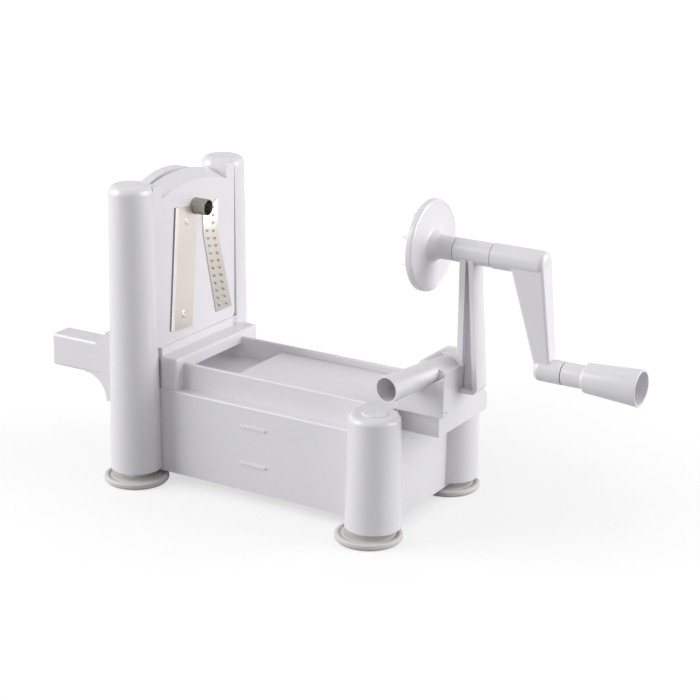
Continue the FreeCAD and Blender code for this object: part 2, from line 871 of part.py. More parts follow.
def cartridge_frame(name):
    main = box(
        name + "_main", (-size.cartridge_depth, -size.cartridge_half_width, 0),
        (0, size.cartridge_half_width, size.cartridge_shoulder),
    )
    main = soften(
        name + "_main_rounded", main, size.cartridge_corner,
        lambda middle, edge: near(middle.z, 0) and runs_along(edge, "x"),
    )
    arch_space = box(
        name + "_arch_space", (-size.cartridge_depth - lap, -size.cartridge_neck_half_width, corer_height),
        (1, size.cartridge_neck_half_width, size.cartridge_shoulder + lap),
    )
    arch_foot = size.cartridge_arch_top - size.cartridge_arch_radius
    arch_cone = taper(
        name + "_arch_cone", "-x", (0, 0, arch_foot),
        size.cartridge_arch_radius, size.cartridge_arch_radius + size.cartridge_arch_rise, size.cartridge_depth,
    )
    arch_sheet = box(
        name + "_arch_sheet", (-size.cartridge_depth, -size.cartridge_neck_half_width, corer_height - lap),
        (0, size.cartridge_neck_half_width, size.cartridge_shoulder + size.cartridge_arch_rise),
    )
    arch = overlap(name + "_arch", arch_cone, arch_sheet)
    tongue_half = size.cartridge_half_width + size.tongue_width
    tongues = box(
        name + "_tongues",
        (-size.tongue_inset - size.tongue_thickness, -tongue_half, size.tongue_lift),
        (-size.tongue_inset, tongue_half, tongue_height),
    )
    dome_top = size.tall_column_top - size.seat_height + lap
    domes = []
    for side, outer, tongue_edge, inner, y in (
        ("front", -size.cartridge_half_width, -tongue_half, -size.cartridge_neck_half_width, -half_width),
        ("rear", size.cartridge_neck_half_width, size.cartridge_half_width, size.cartridge_half_width, half_width),
    ):
        shoulder = box(
            name + "_shoulder_" + side, (-size.cartridge_depth, outer, tongue_height),
            (0, inner, dome_top),
        )
        tongue_head = box(
            name + "_tongue_head_" + side,
            (-size.tongue_inset - size.tongue_thickness, tongue_edge, tongue_height - lap),
            (-size.tongue_inset, tongue_edge + size.tongue_width, dome_top),
        )
        shank = domed_shank(
            name + "_dome_" + side, -half_length - size.cartridge_face, y, size.column_bottom - size.seat_height,
        )
        domes.append(overlap(
            name + "_dome_part_" + side, shank, join(name + "_dome_blank_" + side, shoulder, tongue_head),
        ))
    pads = [
        rod(name + "_pad_%d" % index, "x", (-1, across, up), size.rivet_pad_radius, size.blade_lift + lap)
        for index, (across, up) in enumerate(rivet_points())
    ]
    solid = join(name + "_solid", cut(name + "_square", main, arch_space), arch, tongues, *domes, *pads)
    hollow_depth = size.cartridge_depth - size.cartridge_skin
    inside = size.cartridge_half_width - size.cartridge_rim
    low_hollow = box(
        name + "_low_hollow", (-size.cartridge_depth - lap, -inside, size.cartridge_rim),
        (-size.cartridge_skin, inside, corer_height + size.cartridge_rim),
    )
    high_hollow = overlap(
        name + "_high_hollow",
        taper(
            name + "_hollow_cone", "-x", (-size.cartridge_skin, 0, arch_foot),
            size.cartridge_arch_radius - size.cartridge_rim,
            size.cartridge_arch_radius + size.cartridge_arch_rise - size.cartridge_rim,
            hollow_depth,
        ),
        box(
            name + "_hollow_sheet",
            (-size.cartridge_depth - lap, size.cartridge_rim - size.cartridge_neck_half_width, size.cartridge_rim),
            (-size.cartridge_skin, size.cartridge_neck_half_width - size.cartridge_rim, size.cartridge_shoulder + size.cartridge_arch_rise),
        ),
    )
    slot_edge = -size.blade_width / 2 - size.blade_slot_gap
    centre = (size.blade_centre_offset, size.blade_centre_height)
    half = size.blade_length / 2
    slot = slab(
        name + "_slot",
        (
            leaning(centre, size.blade_tilt, slot_edge - size.blade_slot_width, -half),
            leaning(centre, size.blade_tilt, slot_edge, -half),
            leaning(centre, size.blade_tilt, slot_edge, half),
            leaning(centre, size.blade_tilt, slot_edge - size.blade_slot_width, half),
        ),
        (-size.cartridge_skin - lap, 0, 0), STANDING, size.cartridge_skin + lap * 2,
    )
    tube_hole = rod(
        name + "_tube_hole", "x", (-size.cartridge_skin - lap, 0, corer_height),
        size.corer_radius, size.cartridge_skin + lap * 2,
    )
    rivet_holes = [
        rod(name + "_rivet_hole_%d" % index, "x", (-size.rivet_depth, across, up), size.rivet_radius, size.rivet_margin)
        for index, (across, up) in enumerate(rivet_points())
    ]
    return cut(name, solid, low_hollow, high_hollow, slot, tube_hole, *rivet_holes)


def grind(body, plate, side):
    """Slopes the long outer edge of a blade's plate down to its cutting edge."""
    document.recompute()
    slope = body.newObject("PartDesign::Chamfer", plate.Name + "_ground_edge")
    slope.Base = (plate, [
        "Edge%d" % index for index, edge in enumerate(plate.Shape.Edges, start=1)
        if near(edge.Length, size.blade_length) and near(edge.CenterOfMass.x, size.blade_thickness)
        and edge.CenterOfMass.y < side.value
    ])
    slope.ChamferType = "Two distances"
    bind(slope, "Size", size.blade_ground_depth)
    bind(slope, "Size2", size.blade_ground)
    body.Tip = slope


def straight_blade(name):
    body = document.addObject("PartDesign::Body", name)
    centre = (size.blade_centre_offset, size.blade_centre_height)
    half_across = size.blade_width / 2
    half_along = size.blade_length / 2
    cutting_side = -half_across - size.blade_ground
    plate = sketch_on(body, name + "_plate", "YZ_Plane")
    tie_corners(plate, [
        leaning(centre, size.blade_tilt, cutting_side, -half_along),
        leaning(centre, size.blade_tilt, half_across, -half_along),
        leaning(centre, size.blade_tilt, half_across, half_along),
        leaning(centre, size.blade_tilt, cutting_side, half_along),
    ])
    grind(body, pad(body, plate, size.blade_thickness), centre[0])
    for index, (low, high) in enumerate((
        (-half_along, size.blade_thickness - half_along),
        (half_along - size.blade_thickness, half_along),
    )):
        leg = sketch_on(body, name + "_leg_%d" % index, "YZ_Plane")
        tie_corners(leg, [
            leaning(centre, size.blade_tilt, -half_across, low),
            leaning(centre, size.blade_tilt, half_across, low),
            leaning(centre, size.blade_tilt, half_across, high),
            leaning(centre, size.blade_tilt, -half_across, high),
        ])
        pad(body, leg, size.blade_lift, reverse=True)
    holes = sketch_on(body, name + "_holes", "YZ_Plane")
    circles = [(point, size.rivet_radius) for point in rivet_points()]
    circles.append(((as_size(0), corer_height), size.corer_radius + size.corer_clearance))
    for index, ((across, up), radius) in enumerate(circles):
        circle = Part.Circle(Vector(across.value, up.value, 0), Vector(0, 0, 1), radius.value)
        holes.addGeometry(circle, False)
        for kind, length in (("DistanceX", across), ("DistanceY", up)):
            if length.value == 0:
                holes.addConstraint(Sketcher.Constraint("PointOnObject", index, 3, -2))
                continue
            number = holes.addConstraint(Sketcher.Constraint(kind, -1, 1, index, 3, length.value))
            label = "%s_%d" % (kind.lower(), index)
            holes.renameConstraint(number, label)
            bind(holes, ".Constraints." + label, length)
        number = holes.addConstraint(Sketcher.Constraint("Radius", index, radius.value))
        holes.renameConstraint(number, "radius_%d" % index)
        bind(holes, ".Constraints.radius_%d" % index, radius)
    pocket = body.newObject("PartDesign::Pocket", name + "_pocket")
    pocket.Profile = holes
    pocket.Type = "ThroughAll"
    pocket.Midplane = True
    body.Tip = pocket
    return body


def comb_blade(name):
    body = document.addObject("PartDesign::Body", name)
    strip = sketch_on(body, name + "_strip", "YZ_Plane")
    tie_corners(strip, [
        (size.comb_foot_left, size.comb_foot_height),
        (size.comb_foot_right, size.comb_foot_height),
        (size.comb_knee_right, size.comb_knee_height),
        (size.comb_head_right, size.upper_row_foot_height + size.comb_head_right_rise),
        (size.comb_head_left, size.upper_row_foot_height + size.comb_head_left_rise),
        (size.comb_knee_left, size.comb_knee_height),
    ])
    pad(body, strip, size.comb_thickness)
    rows = (
        ("inner", size.inner_row_foot, size.inner_row_foot_height, size.inner_row_tilt,
         size.inner_row_length, INNER_ROW_TEETH),
        ("outer", size.outer_row_foot, size.outer_row_foot_height, size.outer_row_tilt,
         size.outer_row_length, OUTER_ROW_TEETH),
        ("upper", size.upper_row_foot, size.upper_row_foot_height, size.upper_row_tilt,
         size.upper_row_length, UPPER_ROW_TEETH),
    )
    for row_name, across, up, tilt, length, count in rows:
        tooth = sketch_on(body, "%s_%s_tooth" % (name, row_name), "YZ_Plane")
        tooth.AttachmentOffset = Placement(Vector(across.value, up.value, 0), Rotation(Vector(0, 0, 1), tilt.value))
        bind(tooth, ".AttachmentOffset.Base.x", across)
        bind(tooth, ".AttachmentOffset.Base.y", up)
        half_tooth = size.comb_tooth_width / 2
        tie_corners(tooth, [
            (-half_tooth, -size.comb_tooth_length / 2),
            (half_tooth, -size.comb_tooth_length / 2),
            (half_tooth, size.comb_tooth_length / 2),
            (-half_tooth, size.comb_tooth_length / 2),
        ])
        first = pad(body, tooth, size.comb_thickness + size.comb_tooth_height)
        document.recompute()
        row = body.newObject("PartDesign::LinearPattern", "%s_%s_row" % (name, row_name))
        row.Originals = [first]
        row.Direction = (tooth, ["V_Axis"])
        bind(row, "Length", length)
        row.Occurrences = count
        body.Tip = row
    return body


def corer_tube(name):
    length = size.cartridge_skin + size.corer_reach
    start = (-size.cartridge_skin, 0, corer_height)
    outside = rod(name + "_outside", "x", start, size.corer_radius, length)
    inside = rod(
        name + "_inside", "x", (-size.cartridge_skin - lap, 0, corer_height),
        size.corer_radius - size.corer_wall, length + lap * 2,
    )
    return cut(name, outside, inside)


def blade_rivets(name):
    head_start = size.blade_lift + size.blade_thickness
    pieces = []
    for index, (across, up) in enumerate(rivet_points()):
        shank = rod(
            "%s_shank_%d" % (name, index), "x", (-size.rivet_depth, across, up),
            size.rivet_radius, size.rivet_depth + head_start,
        )
        head = rod(
            "%s_head_%d" % (name, index), "x", (head_start, across, up), size.rivet_head_radius, size.rivet_head,
        )
        pieces.append(join("%s_%d" % (name, index), shank, head))
    rivets = document.addObject("Part::Compound", name)
    rivets.Links = pieces
    return rivets


def cartridge(prefix, origin, rotation, has_comb):
    """Every piece of one cartridge, placed together."""
    def finish(piece_name, piece, lift=as_size(0)):
        offset = rotation.multVec(Vector(1, 0, 0))
        x, y, z = (as_size(start) + lift * round(share) for start, share in zip(origin, offset))
        keep(prefix + piece_name, place(piece, x, y, z, rotation))

    finish("cartridge_frame", cartridge_frame(prefix + "frame"))
    finish("straight_blade", straight_blade(prefix + "straight_blade"), size.blade_lift)
    finish("corer_tube", corer_tube(prefix + "corer"))
    finish("blade_rivets", blade_rivets(prefix + "rivets"))
    if has_comb:
        finish("comb_blade", comb_blade(prefix + "comb"))


cartridge("", (size.cartridge_face, 0, size.seat_height), UPRIGHT, True)
for spare_name, floor_height, has_comb in (
    ("spare_one_", size.bay_floor_height, True),
    ("spare_two_", size.bay_floor_height + size.bay_pitch, False),
):
    spare_origin = (
        size.bay_centre,
        size.spare_front_gap - inner_half_width,
        floor_height + size.cartridge_depth,
    )
    cartridge(spare_name, spare_origin, LYING, has_comb)

# Sliding carriage with its push handle.

sled_bottom = size.channel_floor_height + size.sled_floor_gap
sled_half = size.sled_half_width
flange_bottom = size.rail_height + size.rail_clearance
wall = size.sled_wall
sled = cut(
    "sled",
    box("sled_block", (size.sled_left, -sled_half, sled_bottom), (size.sled_right, sled_half, size.sled_height)),
    box(
        "sled_hollow",
        (size.sled_left + wall, wall - sled_half, sled_bottom - lap),
        (size.sled_right - wall, sled_half - wall, size.sled_height - wall),
    ),
)
end_wall = slab(
    "end_wall",
    (
        (-sled_half, size.sled_height - lap),
        (sled_half, size.sled_height - lap),
        (sled_half, size.end_wall_low - size.end_wall_chamfer),
        (sled_half - size.end_wall_chamfer, size.end_wall_low),
        (size.end_wall_step, size.end_wall_low),
        (size.end_wall_step, size.end_wall_high),
        (-sled_half, size.end_wall_high),
    ),
    (size.sled_right - wall, 0, 0), STANDING, wall,
)
inner_side = box(
    "saddle_inner_side",
    (size.saddle_left, -sled_half, size.sled_height - lap),
    (size.sled_right, wall - sled_half, flange_bottom + wall),
)
flange = box(
    "saddle_flange",
    (size.saddle_left, size.saddle_front, flange_bottom),
    (size.saddle_right, wall - sled_half, flange_bottom + wall),
)
saddle_slope = (size.saddle_top - size.saddle_left_top) / (size.saddle_right - size.saddle_left)
saddle_side = slab(
    "saddle_side",
    (
        (size.saddle_left, size.saddle_left_top),
        (size.saddle_left, flange_bottom + size.saddle_corner_height),
        (size.saddle_left + size.saddle_corner_length / 3, flange_bottom + size.saddle_corner_height / 3),
        (size.saddle_left + size.saddle_corner_length, flange_bottom),
        (size.saddle_right, flange_bottom),
        (size.saddle_right, size.saddle_top),
    ),
    (0, size.saddle_front + wall, 0), TURN_TO_FRONT, wall,
)
saddle_side = soften(
    "saddle_side_rounded", saddle_side, size.saddle_round,
    lambda middle, edge: near(middle.y, size.saddle_front) and edge.Length > wall.value,
)
saddle_end = box(
    "saddle_end",
    (size.saddle_left, size.saddle_front + wall / 2, flange_bottom),
    (size.saddle_left + wall, size.boss_rear, size.saddle_left_top),
)
saddle_end_foot = box(
    "saddle_end_foot",
    (size.saddle_left, -sled_half, size.sled_height - lap),
    (size.saddle_left + wall, size.boss_rear, flange_bottom + lap),
)
roof_drop = wall * 1.25
saddle_roof = slab(
    "saddle_roof",
    (
        (size.saddle_left, size.saddle_left_top - roof_drop),
        (size.sled_right, size.saddle_left_top + saddle_slope * (size.sled_right - size.saddle_left) - roof_drop),
        (size.sled_right, size.saddle_left_top + saddle_slope * (size.sled_right - size.saddle_left)),
        (size.saddle_left, size.saddle_left_top),
    ),
    (0, size.boss_front + lap, 0), TURN_TO_FRONT, size.boss_front + lap - size.saddle_front - wall / 2,
)
boss = box(
    "boss",
    (size.boss_left, size.boss_front, size.sled_height - lap),
    (size.sled_right, size.boss_rear, size.boss_top),
)
root = slab(
    "handle_root",
    (
        (size.root_left, size.boss_top - lap),
        (size.sled_right, size.boss_top - lap),
        (size.sled_right, size.boss_top),
        (size.root_ridge_right, size.root_top),
        (size.root_ridge_left, size.root_top),
        (size.root_left, size.root_shoulder),
    ),
    (0, size.boss_rear, 0), TURN_TO_FRONT, size.boss_rear - size.root_front,
)
root = soften(
    "handle_root_rounded", root, size.root_round,
    lambda middle, edge: near(middle.z, size.root_top) and runs_along(edge, "y"),
)
handle_rotation = Rotation(Vector(0, 0, 1), -size.handle_turn.value) * Rotation(Vector(1, 0, 0), -90)
handle_mouth = (size.handle_mouth_x, size.handle_mouth_y, size.handle_height)
bore_share = size.handle_bore_depth / size.handle_length
bore_end_radius = size.handle_front_radius - (size.handle_front_radius - size.handle_back_radius) * bore_share
handle_pieces = []
for piece_name, start_radius, end_radius, length in (
    ("push_handle", size.handle_front_radius, size.handle_back_radius, size.handle_length),
    ("push_handle_bore", size.handle_front_radius - size.handle_wall, bore_end_radius - size.handle_wall,
     size.handle_bore_depth),
):
    cone = document.addObject("Part::Cone", piece_name)
    bind(cone, "Radius1", start_radius)
    bind(cone, "Radius2", end_radius)
    bind(cone, "Height", length)
    handle_pieces.append(place(cone, *handle_mouth, handle_rotation))
handle, handle_bore = handle_pieces
tenon_gap = size.socket_clearance
socket = box(
    "tenon_socket",
    (size.tenon_left - tenon_gap, -size.tenon_half_width - tenon_gap, size.boss_top - size.tenon_length - tenon_gap),
    (size.tenon_right + tenon_gap, size.tenon_half_width + tenon_gap, size.boss_top + lap),
)
screw_x = (size.tenon_left + size.tenon_right) / 2
screw_head_top = size.boss_top - size.tenon_length + size.post_screw_grip - size.post_screw_length
screw_recess = rod(
    "post_screw_recess", "z", (screw_x, 0, sled_bottom),
    size.post_screw_head_radius + size.screw_recess_clearance, screw_head_top - sled_bottom,
)
screw_way = rod(
    "post_screw_way", "z", (screw_x, 0, sled_bottom), size.post_screw_radius + tenon_gap,
    size.boss_top - sled_bottom,
)
foot_space = box(
    "post_foot_space",
    (size.post_foot_left - size.foot_space_gap, -size.post_half_width - size.foot_space_gap, size.boss_top),
    (size.saddle_right, size.boss_rear + lap, size.root_top + lap),
)
carriage_solid = join(
    "carriage_solid", sled, end_wall, inner_side, flange, saddle_side, saddle_end, saddle_end_foot, saddle_roof,
    boss, root, handle,
)
keep("carriage", cut("carriage", carriage_solid, handle_bore, socket, screw_recess, screw_way, foot_space))

# Upright post with the bearing tube.

bearing_right = size.bearing_left + size.bearing_length
heel_left = size.sled_right + size.post_heel_gap
web_half = size.post_web / 2
heel_slope = (size.post_heel_right - size.post_head_right) / (size.shaft_height - size.post_heel_height)
rear_at_boss = size.post_heel_right - heel_slope * (size.boss_top - size.post_heel_height)
front_flange = box(
    "post_front_flange",
    (size.post_front, -size.post_half_width, size.boss_top),
    (size.post_front + size.post_flange, size.post_half_width, size.shaft_height),
)
web = slab(
    "post_web",
    (
        (size.post_front + lap, size.boss_top),
        (heel_left, size.boss_top),
        (heel_left, size.post_heel_height),
        (size.post_heel_right - lap, size.post_heel_height),
        (size.post_head_right - lap, size.shaft_height),
        (size.post_front + lap, size.shaft_height),
    ),
    (0, web_half, 0), TURN_TO_FRONT, size.post_web,
)
rear_flange = slab(
    "post_rear_flange",
    (
        (size.post_heel_right - size.post_rear_flange, size.post_heel_height),
        (size.post_heel_right, size.post_heel_height),
        (size.post_head_right, size.shaft_height),
        (size.post_head_right - size.post_rear_flange, size.shaft_height),
    ),
    (0, size.post_half_width, 0), TURN_TO_FRONT, size.post_half_width * 2,
)
heel_floor = box(
    "post_heel_floor",
    (heel_left, -size.post_half_width, size.post_heel_height),
    (size.post_heel_right - lap, size.post_half_width, size.post_heel_height + size.post_web),
)
post_foot = box(
    "post_foot",
    (size.post_foot_left, -size.post_half_width, size.boss_top),
    (size.post_front + lap, size.post_half_width, size.boss_top + size.post_foot_height),
)
tenon = box(
    "post_tenon",
    (size.tenon_left, -size.tenon_half_width, size.boss_top - size.tenon_length),
    (size.tenon_right, size.tenon_half_width, size.boss_top + lap),
)
bearing = rod(
    "bearing_tube", "x", (size.bearing_left, 0, size.shaft_height), size.bearing_radius, size.bearing_length,
)
shaft_bore = rod(
    "bearing_bore", "x", (size.bearing_left - lap, 0, size.shaft_height),
    size.shaft_radius + size.running_clearance, size.bearing_length + lap * 2,
)
screw_pilot = rod(
    "post_screw_pilot", "z", (screw_x, 0, size.boss_top - size.tenon_length - lap),
    size.post_screw_radius, size.post_screw_grip + lap,
)
front_flange = soften(
    "post_front_rounded", front_flange, size.post_flange_round,
    lambda middle, edge: near(middle.x, size.post_front) and runs_along(edge, "z"),
)
post_solid = join("post_solid", front_flange, web, rear_flange, heel_floor, post_foot, tenon, bearing)
post_blank = soften(
    "post_rounded", post_solid, size.post_heel_round,
    lambda middle, edge: near(middle.x, size.post_heel_right) and near(middle.z, size.post_heel_height)
    and runs_along(edge, "y"),
)
keep("post", cut("post", post_blank, shaft_bore, screw_pilot))


def screw(name, start, direction, head_radius, head, radius, length):
    """A pan head whose flat side is at the start, with its shank beyond; turned about its axis."""
    fastener = turned(name, (
        (0, -head),
        (head_radius * size.screw_crown_share, -head),
        (head_radius, -head * size.screw_rim_share),
        (head_radius, 0),
        (radius, 0),
        (radius, length - radius),
        (radius / 2, length),
        (0, length),
    ))
    return keep(name, place(fastener, *start, DIRECTIONS[direction]))


screw(
    "post_screw", (screw_x, 0, screw_head_top), "z",
    size.post_screw_head_radius, size.post_screw_head, size.post_screw_radius, size.post_screw_length - size.screw_end_gap,
)

# Spiked disc with its screw and washer.

disc_top = size.disc_left + size.disc_thickness
hub_end = size.bearing_left - size.end_gap
shaft_left = size.disc_left + size.disc_recess_depth + size.disc_web
disc_plate = rod("disc_plate", "x", (size.disc_left, 0, size.shaft_height), size.disc_radius, size.disc_thickness)
disc_plate = soften("disc_plate_rounded", disc_plate, size.disc_edge_round, lambda middle, edge: edge.Closed)
disc_cone = taper(
    "disc_cone", "x", (disc_top - lap, 0, size.shaft_height),
    size.disc_cone_radius, size.disc_hub_radius, size.disc_cone_length + lap,
)
disc_hub = rod(
    "disc_hub", "x", (disc_top - lap, 0, size.shaft_height), size.disc_hub_radius, hub_end - disc_top + lap,
)
prongs = []
for ring_name, count, circle, phase in (
    ("outer", PRONG_COUNT, size.prong_circle, size.prong_phase),
    ("inner", INNER_PRONG_COUNT, size.prong_inner_circle, size.prong_phase * 2),
):
    for index in range(count):
        angle = phase + index * (360 / count)
        prongs.append(taper(
            "%s_prong_%d" % (ring_name, index + 1), "-x",
            (size.disc_left + lap, circle * cosine(angle), size.shaft_height + circle * sine(angle)),
            size.prong_radius, size.prong_tip_radius, size.prong_length + lap,
        ))
disc_recess = rod(
    "disc_recess", "x", (size.disc_left - lap, 0, size.shaft_height),
    size.disc_recess_radius, size.disc_recess_depth + lap,
)
disc_screw_hole = rod(
    "disc_screw_hole", "x", (size.disc_left, 0, size.shaft_height),
    size.disc_screw_radius, size.disc_recess_depth + size.disc_web,
)
disc_socket = rod(
    "disc_socket", "x", (shaft_left, 0, size.shaft_height), size.shaft_radius, hub_end - shaft_left + lap,
)
disc_solid = join("disc_solid", disc_plate, disc_cone, disc_hub, *prongs)
keep("spiked_disc", cut("spiked_disc", disc_solid, disc_recess, disc_screw_hole, disc_socket))


def washer(name, start, outer, inner, thickness):
    ring = turned(name, ((inner, 0), (outer, 0), (outer, thickness), (inner, thickness)))
    return keep(name, place(ring, *start, TURN_TO_X))


washer_seat = size.disc_left + size.disc_recess_depth - size.disc_washer_thickness
washer(
    "disc_washer", (washer_seat, 0, size.shaft_height),
    size.disc_washer_radius, size.disc_screw_radius, size.disc_washer_thickness,
)
screw(
    "disc_screw", (washer_seat, 0, size.shaft_height), "x",
    size.disc_screw_head_radius, size.disc_screw_head, size.disc_screw_radius, size.disc_screw_length,
)

# Crank shaft and crank arm.

shaft_blank = rod(
    "shaft_blank", "x", (shaft_left, 0, size.shaft_height), size.shaft_radius, size.shaft_right - shaft_left,
)
shaft_pilot = rod(
    "shaft_pilot", "x", (shaft_left - lap, 0, size.shaft_height),
    size.disc_screw_radius, size.disc_screw_length + lap,
)
keep("crank_shaft", cut("crank_shaft", shaft_blank, shaft_pilot))
hub_left = bearing_right + size.end_gap
grip_height = size.shaft_height - size.crank_radius
hub_blank = rod(
    "hub_blank", "x", (hub_left, 0, size.shaft_height), size.crank_hub_radius, size.crank_hub_right - hub_left,
)
hub_rounded = soften(
    "hub_rounded", hub_blank, size.crank_hub_round,
    lambda middle, edge: edge.Closed and near(middle.x, size.crank_hub_right),
)
arm_side = slab(
    "arm_side",
    (
        (size.arm_foot_left, grip_height),
        (size.arm_foot_right, grip_height),
        (size.arm_head_right, size.shaft_height),
        (size.arm_head_left, size.shaft_height),
    ),
    (0, size.arm_head_half, 0), TURN_TO_FRONT, size.arm_head_half * 2,
)
arm_front = slab(
    "arm_front",
    (
        (-size.arm_foot_half, grip_height - lap),
        (size.arm_foot_half, grip_height - lap),
        (size.arm_head_half, size.shaft_height + lap),
        (-size.arm_head_half, size.shaft_height + lap),
    ),
    (size.arm_head_left - lap, 0, 0), STANDING, size.arm_foot_right - size.arm_head_left + lap * 2,
)
elbow = soften(
    "elbow_rounded",
    rod("elbow", "x", (size.elbow_left, 0, grip_height), size.elbow_radius, size.elbow_right - size.elbow_left),
    size.elbow_round,
    lambda middle, edge: edge.Closed and near(middle.x, size.elbow_left),
)
spigot = rod(
    "spigot", "x", (size.elbow_right - lap, 0, grip_height), size.spigot_radius, size.spigot_length + lap,
)
spigot_end = size.elbow_right + size.spigot_length
grip_screw_hole = rod(
    "grip_screw_hole", "x", (spigot_end - size.grip_screw_length, 0, grip_height),
    size.grip_screw_radius, size.grip_screw_length + lap,
)
shaft_socket = rod(
    "shaft_socket", "x", (hub_left - lap, 0, size.shaft_height), size.shaft_radius, size.shaft_right - hub_left + lap,
)
arm_rounded = soften(
    "arm_rounded", overlap("arm_blank", arm_side, arm_front), size.arm_round,
    lambda middle, edge: edge.Length > size.crank_radius.value / 2,
)
arm_solid = join("arm_solid", hub_rounded, arm_rounded, elbow, spigot)
keep("crank_arm", cut("crank_arm", arm_solid, shaft_socket, grip_screw_hole))

# Freely turning grip with its washer and screw.

grip_left = size.elbow_right + size.grip_gap
grip_length = size.grip_right - grip_left
bore = size.spigot_radius + size.running_clearance
shoulder = size.grip_neck_length + size.grip_shoulder_length
grip = turned("crank_grip", (
    (bore, 0),
    (size.grip_neck_radius, 0),
    (size.grip_neck_radius, size.grip_neck_length),
    (size.grip_sleeve_radius, shoulder),
    (size.grip_mouth_radius, grip_length),
    (size.grip_mouth_radius - size.grip_wall, grip_length),
    (size.grip_sleeve_radius - size.grip_wall, size.grip_web_length),
    (bore, size.grip_web_length),
))
keep("crank_grip", place(grip, grip_left, 0, grip_height, TURN_TO_X))
washer(
    "grip_washer", (spigot_end, 0, grip_height),
    size.grip_washer_radius, size.grip_screw_radius, size.grip_washer_thickness,
)
screw(
    "grip_screw", (spigot_end + size.grip_washer_thickness, 0, grip_height), "-x",
    size.grip_screw_head_radius, size.grip_screw_head, size.grip_screw_radius, size.grip_screw_length,
)

document.recompute()
for item in document.Objects:
    if "Invalid" in item.State or "Error" in item.State:
        raise RuntimeError("not computed: " + item.Name)
os.makedirs("parts", exist_ok=True)
for label, item in SUB_PARTS:
    if item.Shape.isNull() or not item.Shape.isValid():
        raise RuntimeError("bad shape: " + label)
    item.Shape.exportStep("parts/" + label + ".step")
    print(label, len(item.Shape.Solids), round(item.Shape.Volume, 1))
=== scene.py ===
from math import acos, cos, pi, radians, sin, tan

import bmesh
import bpy
from mathutils import Matrix, Vector


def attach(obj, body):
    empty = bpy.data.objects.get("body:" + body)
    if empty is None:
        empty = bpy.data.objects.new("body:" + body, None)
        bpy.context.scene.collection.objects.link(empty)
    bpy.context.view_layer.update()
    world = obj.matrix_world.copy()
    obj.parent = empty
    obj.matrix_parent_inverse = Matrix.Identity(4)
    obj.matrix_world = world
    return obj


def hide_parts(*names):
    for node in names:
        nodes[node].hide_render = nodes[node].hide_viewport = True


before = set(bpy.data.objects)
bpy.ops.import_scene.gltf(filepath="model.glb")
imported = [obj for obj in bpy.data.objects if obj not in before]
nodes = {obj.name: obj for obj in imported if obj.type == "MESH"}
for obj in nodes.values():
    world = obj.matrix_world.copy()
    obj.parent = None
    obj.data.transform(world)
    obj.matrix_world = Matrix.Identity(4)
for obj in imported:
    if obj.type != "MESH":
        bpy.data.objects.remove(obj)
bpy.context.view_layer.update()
mm = 0.001
tiny = 1e-6
weldReach = 1e-7
sharpAngle = 38
columnsToMiddle = 49.25  # from the middle of the columns to the middle of the whole slicer
shaftHeight = 197.0
gripHeight = shaftHeight - 72.2
print("frame loaded:", len(nodes), "nodes")

cameraPlace = {
    "azimuth": 30.99, "elevation": 18.28, "roll": -0.8, "distance": 1.41008,
    "shift": (0.00086, 0.10518), "focal": 100.4, "sensor": 36, "origin": Vector((-0.003715, 0, 0)),
    "near": 0.05, "far": 20,
}


def makeCamera(cfg):
    a, e, r = (radians(cfg[k]) for k in ("azimuth", "elevation", "roll"))
    back = Vector((sin(a) * cos(e), -cos(a) * cos(e), sin(e)))
    right = Vector((cos(a), sin(a), 0))
    up = back.cross(right)
    data = bpy.data.cameras.new("camera")
    data.sensor_width = cfg["sensor"]
    data.lens = cfg["focal"]
    data.clip_start, data.clip_end = cfg["near"], cfg["far"]
    camera = bpy.data.objects.new("camera", data)
    bpy.context.scene.collection.objects.link(camera)
    rightTurned = right * cos(r) - up * sin(r)
    upTurned = right * sin(r) + up * cos(r)
    turn = Matrix((rightTurned, upTurned, back)).transposed().to_4x4()
    place = back * cfg["distance"] + right * cfg["shift"][0] + up * cfg["shift"][1] + cfg["origin"]
    camera.matrix_world = Matrix.Translation(place) @ turn
    bpy.context.scene.camera = camera


# Shader graphs are written as sums: a Term wraps one socket, a Graph adds nodes to one material.
class Term:
    def __init__(self, graph, socket):
        self.graph, self.socket = graph, socket

    def math(self, operation, *others):
        return self.graph.calculate(operation, self, *others)

    def __add__(self, other):
        return self.math("ADD", other)

    def __radd__(self, other):
        return self.math("ADD", other)

    def __sub__(self, other):
        return self.math("SUBTRACT", other)

    def __rsub__(self, other):
        return self.graph.calculate("SUBTRACT", other, self)

    def __mul__(self, other):
        return self.math("MULTIPLY", other)

    def __rmul__(self, other):
        return self.math("MULTIPLY", other)

    def __truediv__(self, other):
        return self.math("DIVIDE", other)


